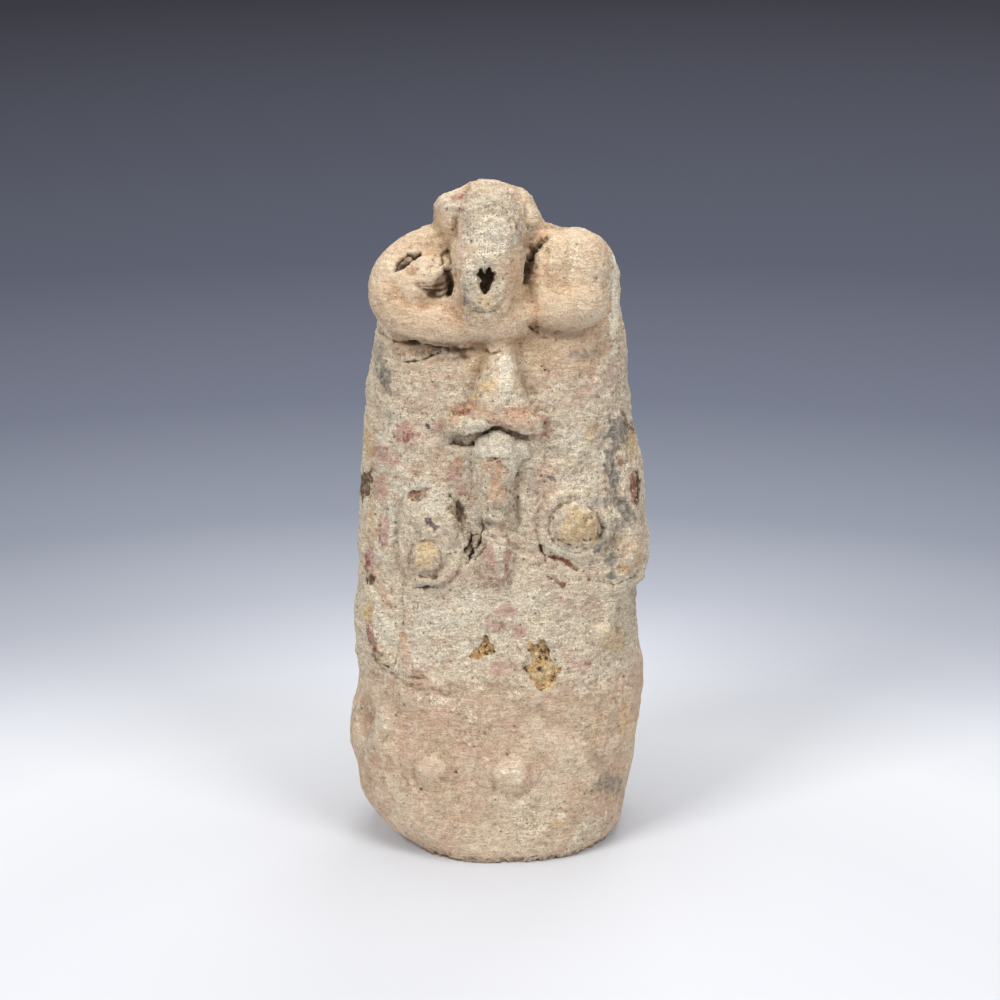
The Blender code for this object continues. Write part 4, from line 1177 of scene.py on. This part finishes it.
class Finish:
    """One material while it is being wired."""

    def __init__(self, name):
        self.material = bpy.data.materials.new(name)
        self.material.use_nodes = True
        self.tree = self.material.node_tree
        self.shader = self.tree.nodes["Principled BSDF"]
        self.place = self.add("ShaderNodeTexCoord", {}, {}, "Object")

    def add(self, kind, settings, sockets, output=0):
        """Add a node, set it up, then give its sockets values or wires."""
        made = self.tree.nodes.new(kind)
        for name, value in settings.items():
            setattr(made, name, value)
        for key, value in sockets.items():
            self.feed(made.inputs[key], value)
        return Wire(self, made.outputs[output])

    def feed(self, socket, value):
        """Give a socket a value or a wire."""
        if isinstance(value, Wire):
            self.tree.links.new(value.socket, socket)
        else:
            socket.default_value = value

    def blend(self, below, above, share, kind="MIX"):
        """One colour over another where share is strong."""
        settings = {"data_type": "RGBA", "blend_type": kind}
        return self.add("ShaderNodeMix", settings, {0: share, COLOUR_A: below, COLOUR_B: above}, COLOUR_OUT)

    def stain(self, name):
        """A stain kept with the mesh's points."""
        return self.add("ShaderNodeAttribute", {"attribute_name": name}, {}, "Fac")

    def swing(self, size, seed=0, detail=3.0, roughness=0.6, stretch=(1, 1, 1), curl=0.0):
        """Noise that swings about zero, mostly between -1 and 1, in lumps of about this size in metres."""
        shift = tuple(seed * share for share in OFFSET)
        sockets = {"Vector": self.place, "Location": shift, "Scale": stretch}
        moved = self.add("ShaderNodeMapping", {}, sockets)
        sockets = {"Vector": moved, "Scale": 1 / size, "Detail": detail, "Roughness": roughness}
        sockets["Distortion"] = curl
        return (self.add("ShaderNodeTexNoise", {}, sockets) - 0.5) * SWING

    def flecks(self, size, share, seed, soft=0.12):
        """Ragged flecks of about this size that cover a share of the surface."""
        cut = statistics.NormalDist(0, 0.5).inv_cdf(1 - share)
        return self.swing(size, seed).between(cut - soft, cut + soft)

    def dots(self, size, share, reach):
        """Small round dots, one in a share of the cells of this size."""
        sockets = {"Vector": self.place, "Scale": 1 / size, "Randomness": 1.0}
        distance = self.add("ShaderNodeTexVoronoi", {"feature": "F1"}, sockets, "Distance")
        cell = self.add("ShaderNodeTexVoronoi", {"feature": "F1"}, sockets, "Color")
        chance = self.add("ShaderNodeSeparateColor", {}, {"Color": cell}, "Red")
        return (1 - distance.between(reach * 0.5, reach)) * (1 - chance.between(share - 0.01, share + 0.01))


def paint(red, green, blue):
    """A colour read off a chart, from 0 to 255, turned into the light values that Blender uses."""
    return (*(((v / 255 + 0.055) / 1.055) ** 2.4 for v in (red, green, blue)), 1.0)


# %% [markdown]
# The clay's colour is built as it came about. First the fired body, tan with a warmer cast that drifts over
# a few centimetres. Then the slip, chalky and greyer. Each ground is a mosaic of flecks from half a
# millimetre to a centimetre across, because lime, grog, ash and old paint all show through it.

# %% The fired clay and its slip
earth = Finish("terracotta")
drift = earth.swing(34 * MM, 1)
cloud = earth.swing(10 * MM, 2)
grain = earth.swing(2.0 * MM, 3, 3.0, 0.7)
sand = earth.swing(0.75 * MM, 4, 2.0, 0.7)

TAN = paint(196, 170, 142)
ROSE_TAN = paint(204, 172, 147)
BUFF = paint(202, 181, 153)
WARM_TAN = paint(210, 176, 139)
CHALK = paint(255, 237, 208)
GREY_SLIP = paint(240, 222, 196)
slip_stain = earth.stain("slip")
knob_stain = earth.stain("knob")
slip_here = (slip_stain + grain * 0.25 + cloud * 0.12).between(0.25, 0.75)
coarse_here = (slip_stain * 0.75 + knob_stain * 0.75 + 0.25).clamp()
colour = earth.blend(TAN, ROSE_TAN, cloud.between(-0.4, 0.5))
colour = earth.blend(colour, BUFF, drift.between(-0.2, 0.6) * 0.7)
colour = earth.blend(colour, WARM_TAN, earth.stain("warm") * (cloud * 0.15 + 0.7))
slip_colour = earth.blend(CHALK, GREY_SLIP, cloud.between(-0.3, 0.7) * 0.8)
colour = earth.blend(colour, slip_colour, slip_here * 0.85)
print("the ground has", len(earth.tree.nodes), "nodes so far")

# %% [markdown]
# Seen close, neither ground is one colour. Each row of the mosaic lays flecks of one size and colour over a
# share of the surface, fainter on the clay that was wiped smooth than on coarse ground. The biggest
# flecks come first and the smallest dark ones last, so the dark ones stay crisp.

# %% The mosaic of flecks on both grounds
MOSAIC = (
    # The size in millimetres, the share covered, the colour, its strength on wiped and on coarse ground.
    (24.0, 0.32, paint(242, 227, 200), 0.20, 0.60), (18.0, 0.20, paint(200, 186, 166), 0.15, 0.34),
    (13.0, 0.20, paint(220, 176, 156), 0.15, 0.40), (7.0, 0.20, paint(234, 214, 184), 0.25, 0.40),
    (5.0, 0.12, paint(188, 172, 152), 0.08, 0.30), (4.0, 0.12, paint(214, 166, 144), 0.12, 0.30),
    (3.0, 0.14, paint(244, 230, 206), 0.12, 0.35), (2.6, 0.07, paint(210, 178, 124), 0.15, 0.40),
    (2.2, 0.05, paint(162, 138, 110), 0.14, 0.30), (1.5, 0.10, paint(128, 94, 62), 0.52, 0.38),
    (1.2, 0.08, paint(248, 238, 216), 0.10, 0.40), (0.9, 0.03, paint(76, 54, 36), 0.50, 0.58),
)
for seed, (size, share, tint, wiped, crusty) in enumerate(MOSAIC, start=10):
    strength = coarse_here * (crusty - wiped) + wiped
    colour = earth.blend(colour, tint, earth.flecks(size * MM, share, seed) * strength)
print("kinds of fleck:", len(MOSAIC))

# %% [markdown]
# Then the traces of paint, and the painted light and shade laid like them, each broken up by the grain so
# that it sits in the clay and not on it.

# %% The traces of paint, with painted light and shade
PIGMENTS = (
    ("knob", paint(226, 214, 192), 0.60), ("cream_and_painted_light", paint(250, 238, 215), 0.90),
    ("pink", paint(206, 150, 138), 0.70), ("rust", paint(217, 161, 124), 0.66),
    ("ochre", paint(234, 196, 138), 0.78), ("soot_and_shade", paint(118, 116, 112), 0.75),
    ("red", paint(158, 84, 74), 0.85), ("bark_and_shade", paint(98, 64, 28), 0.95),
    ("violet", paint(104, 76, 88), 0.85),
)
for name, tint, strength in PIGMENTS:
    amount = earth.stain(name)
    ragged = (amount + grain * 0.22 + sand * 0.16).between(0.15, 0.65) * amount.between(0.0, 0.25)
    colour = earth.blend(colour, tint, ragged * strength)
print("pigments:", [name for name, _, _ in PIGMENTS])

# %% [markdown]
# The floors of the flakes are bare clay full of straw, amber with dark and pale streaks. Grit shows as
# dots, dark, fine and pale. Painted places get tiny painted highlights, glints put into the colour. Dirt and
# painted shade darken hollows last, in two steps from brown to nearly black, rubbed edges are lightened, as
# wear and as painted highlight, and faint wiping lines run across, as a wet hand leaves them.

# %% The flakes' floors, grit, straw, dirt, and painted light and shade
flake = earth.stain("flake")
fibres = earth.swing(1.8 * MM, 31, 3.0, 0.7, stretch=(1.0, 1.0, 0.5))
blotches = earth.swing(3.6 * MM, 32, 2.0, 0.5)
floor_colour = earth.blend(paint(226, 182, 120), paint(104, 70, 38), (fibres + blotches).between(0.2, 0.7))
floor_colour = earth.blend(floor_colour, paint(250, 228, 180), (fibres - blotches).between(0.1, 0.5) * 0.85)
colour = earth.blend(colour, floor_colour, flake.between(0.35, 0.65))

grit_dark = earth.dots(3.0 * MM, 0.26, 0.20) * coarse_here * (1 - flake)
grit_fine = earth.dots(1.5 * MM, 0.25, 0.28)
grit_pale = earth.dots(1.9 * MM, 0.22, 0.30) * coarse_here
colour = earth.blend(colour, paint(78, 60, 44), grit_dark * 0.75)
colour = earth.blend(colour, paint(120, 94, 66), grit_fine * 0.55)
colour = earth.blend(colour, paint(236, 224, 200), grit_pale * 0.6)
colour = earth.blend(colour, paint(92, 76, 58), earth.dots(1.2 * MM, 0.35, 0.32) * knob_stain * 0.85)
colour = earth.blend(colour, paint(146, 116, 82), earth.stain("straw") * 0.35)
painted = earth.stain("rust").stronger(earth.stain("ochre")).stronger(earth.stain("red"))
# Tiny painted highlights, glints put into the colour, sit in the painted places.
painted_glints = earth.dots(1.6 * MM, 0.30, 0.34) * painted.between(0.2, 0.7)
colour = earth.blend(colour, paint(255, 244, 208), painted_glints * 0.8)

# The hollows' darkening is dirt and painted shade, held back where cream paints light.
hollow = earth.stain("hollow") * (1 - earth.stain("cream_and_painted_light") * 0.6)
dirt_and_shade = earth.stain("dirt_and_shade")
grime_and_shade = dirt_and_shade * (hollow * 0.5 + 0.6) + grain * 0.12 * dirt_and_shade
# Hollows and creases get darker in two steps, as dirt and as painted shade.
colour = earth.blend(colour, paint(142, 110, 78), hollow * 0.40)
colour = earth.blend(colour, paint(92, 66, 42), grime_and_shade.between(0.1, 0.6) * 0.75)
colour = earth.blend(colour, paint(34, 24, 17), grime_and_shade.between(0.45, 1.0) * 0.9)
# Rubbed edges are lightened, as wear and as painted highlight.
colour = earth.blend(colour, paint(250, 234, 206), earth.stain("edge") * 0.28)
wiping = earth.swing(0.9 * MM, 51, 2.0, 0.6, stretch=(0.16, 0.16, 1.0), curl=0.6)
salt = sand * (coarse_here * 0.15 + 0.16) + grain * (coarse_here * 0.06 + 0.05) + wiping * 0.03 + 1.0
colour = earth.add("ShaderNodeVectorMath", {"operation": "SCALE"}, {0: colour, "Scale": salt})
print("the colour now has", len(earth.tree.nodes), "nodes")

# %% [markdown]
# Old clay hardly shines, so roughness stays near 0.9 and only rubbed edges come down a little. The finest
# grain is too small for the skin's net, so a bump carries it: lumps of two millimetres, sand, sunken grit
# and standing grains.

# %% Grain, roughness and the material's sockets
chaff = earth.swing(2.6 * MM, 41, 4.0, 0.65, stretch=(0.6, 0.6, 1.3), curl=1.6)
crumbs = chaff.unsigned() * -1
relief = grain * (coarse_here * 0.24 + 0.10) + sand * (coarse_here * 0.14 + 0.08)
relief = relief + crumbs * (coarse_here * 0.50 + 0.26) + wiping * 0.11
relief = relief - grit_dark * 0.45 - grit_fine * 0.20 + grit_pale * 0.20 + flake * fibres * 0.35
raised = earth.add("ShaderNodeBump", {}, {"Strength": 1.0, "Distance": MM, "Height": relief})
earth.feed(earth.shader.inputs["Base Color"], colour)
earth.feed(earth.shader.inputs["Normal"], raised)
earth.feed(earth.shader.inputs["Roughness"], 0.95 - earth.stain("edge") * 0.1 - flake * 0.2)
earth.shader.inputs["Specular IOR Level"].default_value = 0.3
figure.data.materials.clear()
figure.data.materials.append(earth.material)
print("nodes in the clay's material:", len(earth.tree.nodes))

# %% [markdown]
# The photograph stands the figure on a sheet that is white in front and falls off to slate behind. One
# large floor does this with a colour that depends on the distance from the figure, so it looks the same
# from every side. The lamps are large and soft: a key from the upper left, a fill from the right and a
# broad one overhead.

# %% The floor
FLOOR_REACH = 300.0
FLOOR_RINGS = 60
FLOOR_SIDES = 96

floor_points = [(0.0, 0.0, 0.0)]
for band in range(1, FLOOR_RINGS + 1):
    reach = FLOOR_REACH * (band / FLOOR_RINGS) ** 3
    for side in range(FLOOR_SIDES):
        turn = 2 * math.pi * side / FLOOR_SIDES
        floor_points.append((reach * math.cos(turn), reach * math.sin(turn), 0.0))
faces = [(0, 1 + k, 1 + (k + 1) % FLOOR_SIDES) for k in range(FLOOR_SIDES)]
for band in range(FLOOR_RINGS - 1):
    inner, outer = 1 + band * FLOOR_SIDES, 1 + (band + 1) * FLOOR_SIDES
    for k in range(FLOOR_SIDES):
        after = (k + 1) % FLOOR_SIDES
        faces.append((inner + k, outer + k, outer + after, inner + after))
sheet = bpy.data.meshes.new("studio_floor")
sheet.from_pydata(floor_points, [], faces)
floor = bpy.data.objects.new("studio_floor", sheet)
bpy.context.scene.collection.objects.link(floor)

# The floor's colour darkens with distance, painting the fall of light from white in front to slate behind;
# the lighter stop at 0.32 m paints light where the figure's soft shadows fall.
FLOOR_STOPS = (
    (0.00, paint(205, 206, 210)), (0.12, paint(204, 205, 209)), (0.23, paint(202, 203, 207)),
    (0.32, paint(207, 208, 211)), (0.40, paint(198, 200, 206)), (0.52, paint(164, 167, 176)),
    (0.66, paint(132, 136, 148)), (0.90, paint(104, 108, 122)), (1.30, paint(83, 86, 99)),
    (2.64, paint(63, 63, 71)),
)
FLOOR_CENTRE = (0.0, -0.2, 0.0)
paper = Finish("studio_paper")
sockets = {0: paper.place, 1: FLOOR_CENTRE}
away = paper.add("ShaderNodeVectorMath", {"operation": "DISTANCE"}, sockets, "Value")
grey = FLOOR_STOPS[0][1]
for (close, _), (reach, shade) in zip(FLOOR_STOPS, FLOOR_STOPS[1:]):
    grey = paper.blend(grey, shade, ((away - close) / (reach - close)).clamp())
paper.feed(paper.shader.inputs["Base Color"], grey)
paper.shader.inputs["Roughness"].default_value = 0.95
paper.shader.inputs["Specular IOR Level"].default_value = 0.1
sheet.materials.append(paper.material)
print("floor colours:", len(FLOOR_STOPS), "out to", FLOOR_STOPS[-1][0], "m")

# %% [markdown]
# Four large square lamps give soft shadows, as a museum's light boxes do. The key stands high on the left,
# the fill on the right is nearly as strong, one hangs overhead and a weak one behind parts the figure from
# the floor. The even grey of the world fills what they leave dark.

# %% The lamps
LAMPS = (
    ("key", (-1.7, -1.75, 2.1), 1.1, 66.0, (1.0, 0.985, 0.96)),
    ("fill", (1.8, -1.9, 1.7), 1.3, 50.0, (1.0, 0.99, 0.985)),
    ("top", (0.0, 0.0, 2.6), 1.6, 34.0, (1.0, 1.0, 1.0)),
    ("rim", (0.6, 2.2, 1.7), 1.4, 20.0, (0.97, 0.98, 1.0)),
)
for name, stand, side, power, tint in LAMPS:
    lamp = bpy.data.lights.new(name, "AREA")
    lamp.shape = "SQUARE"
    lamp.size = side
    lamp.energy = power
    lamp.color = tint
    holder = bpy.data.objects.new(name, lamp)
    holder.location = stand
    holder.rotation_euler = (AIM - holder.location).to_track_quat("-Z", "Y").to_euler()
    bpy.context.scene.collection.objects.link(holder)

world = bpy.data.worlds.new("studio")
world.use_nodes = True
world.node_tree.nodes["Background"].inputs["Color"].default_value = (0.56, 0.58, 0.62, 1.0)
world.node_tree.nodes["Background"].inputs["Strength"].default_value = 0.44
bpy.context.scene.world = world
bpy.context.scene.view_settings.view_transform = "Standard"
print("lamps:", [name for name, *_ in LAMPS])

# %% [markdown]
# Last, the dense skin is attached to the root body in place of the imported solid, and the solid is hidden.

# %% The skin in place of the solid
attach(figure, "root")
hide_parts(NODE)
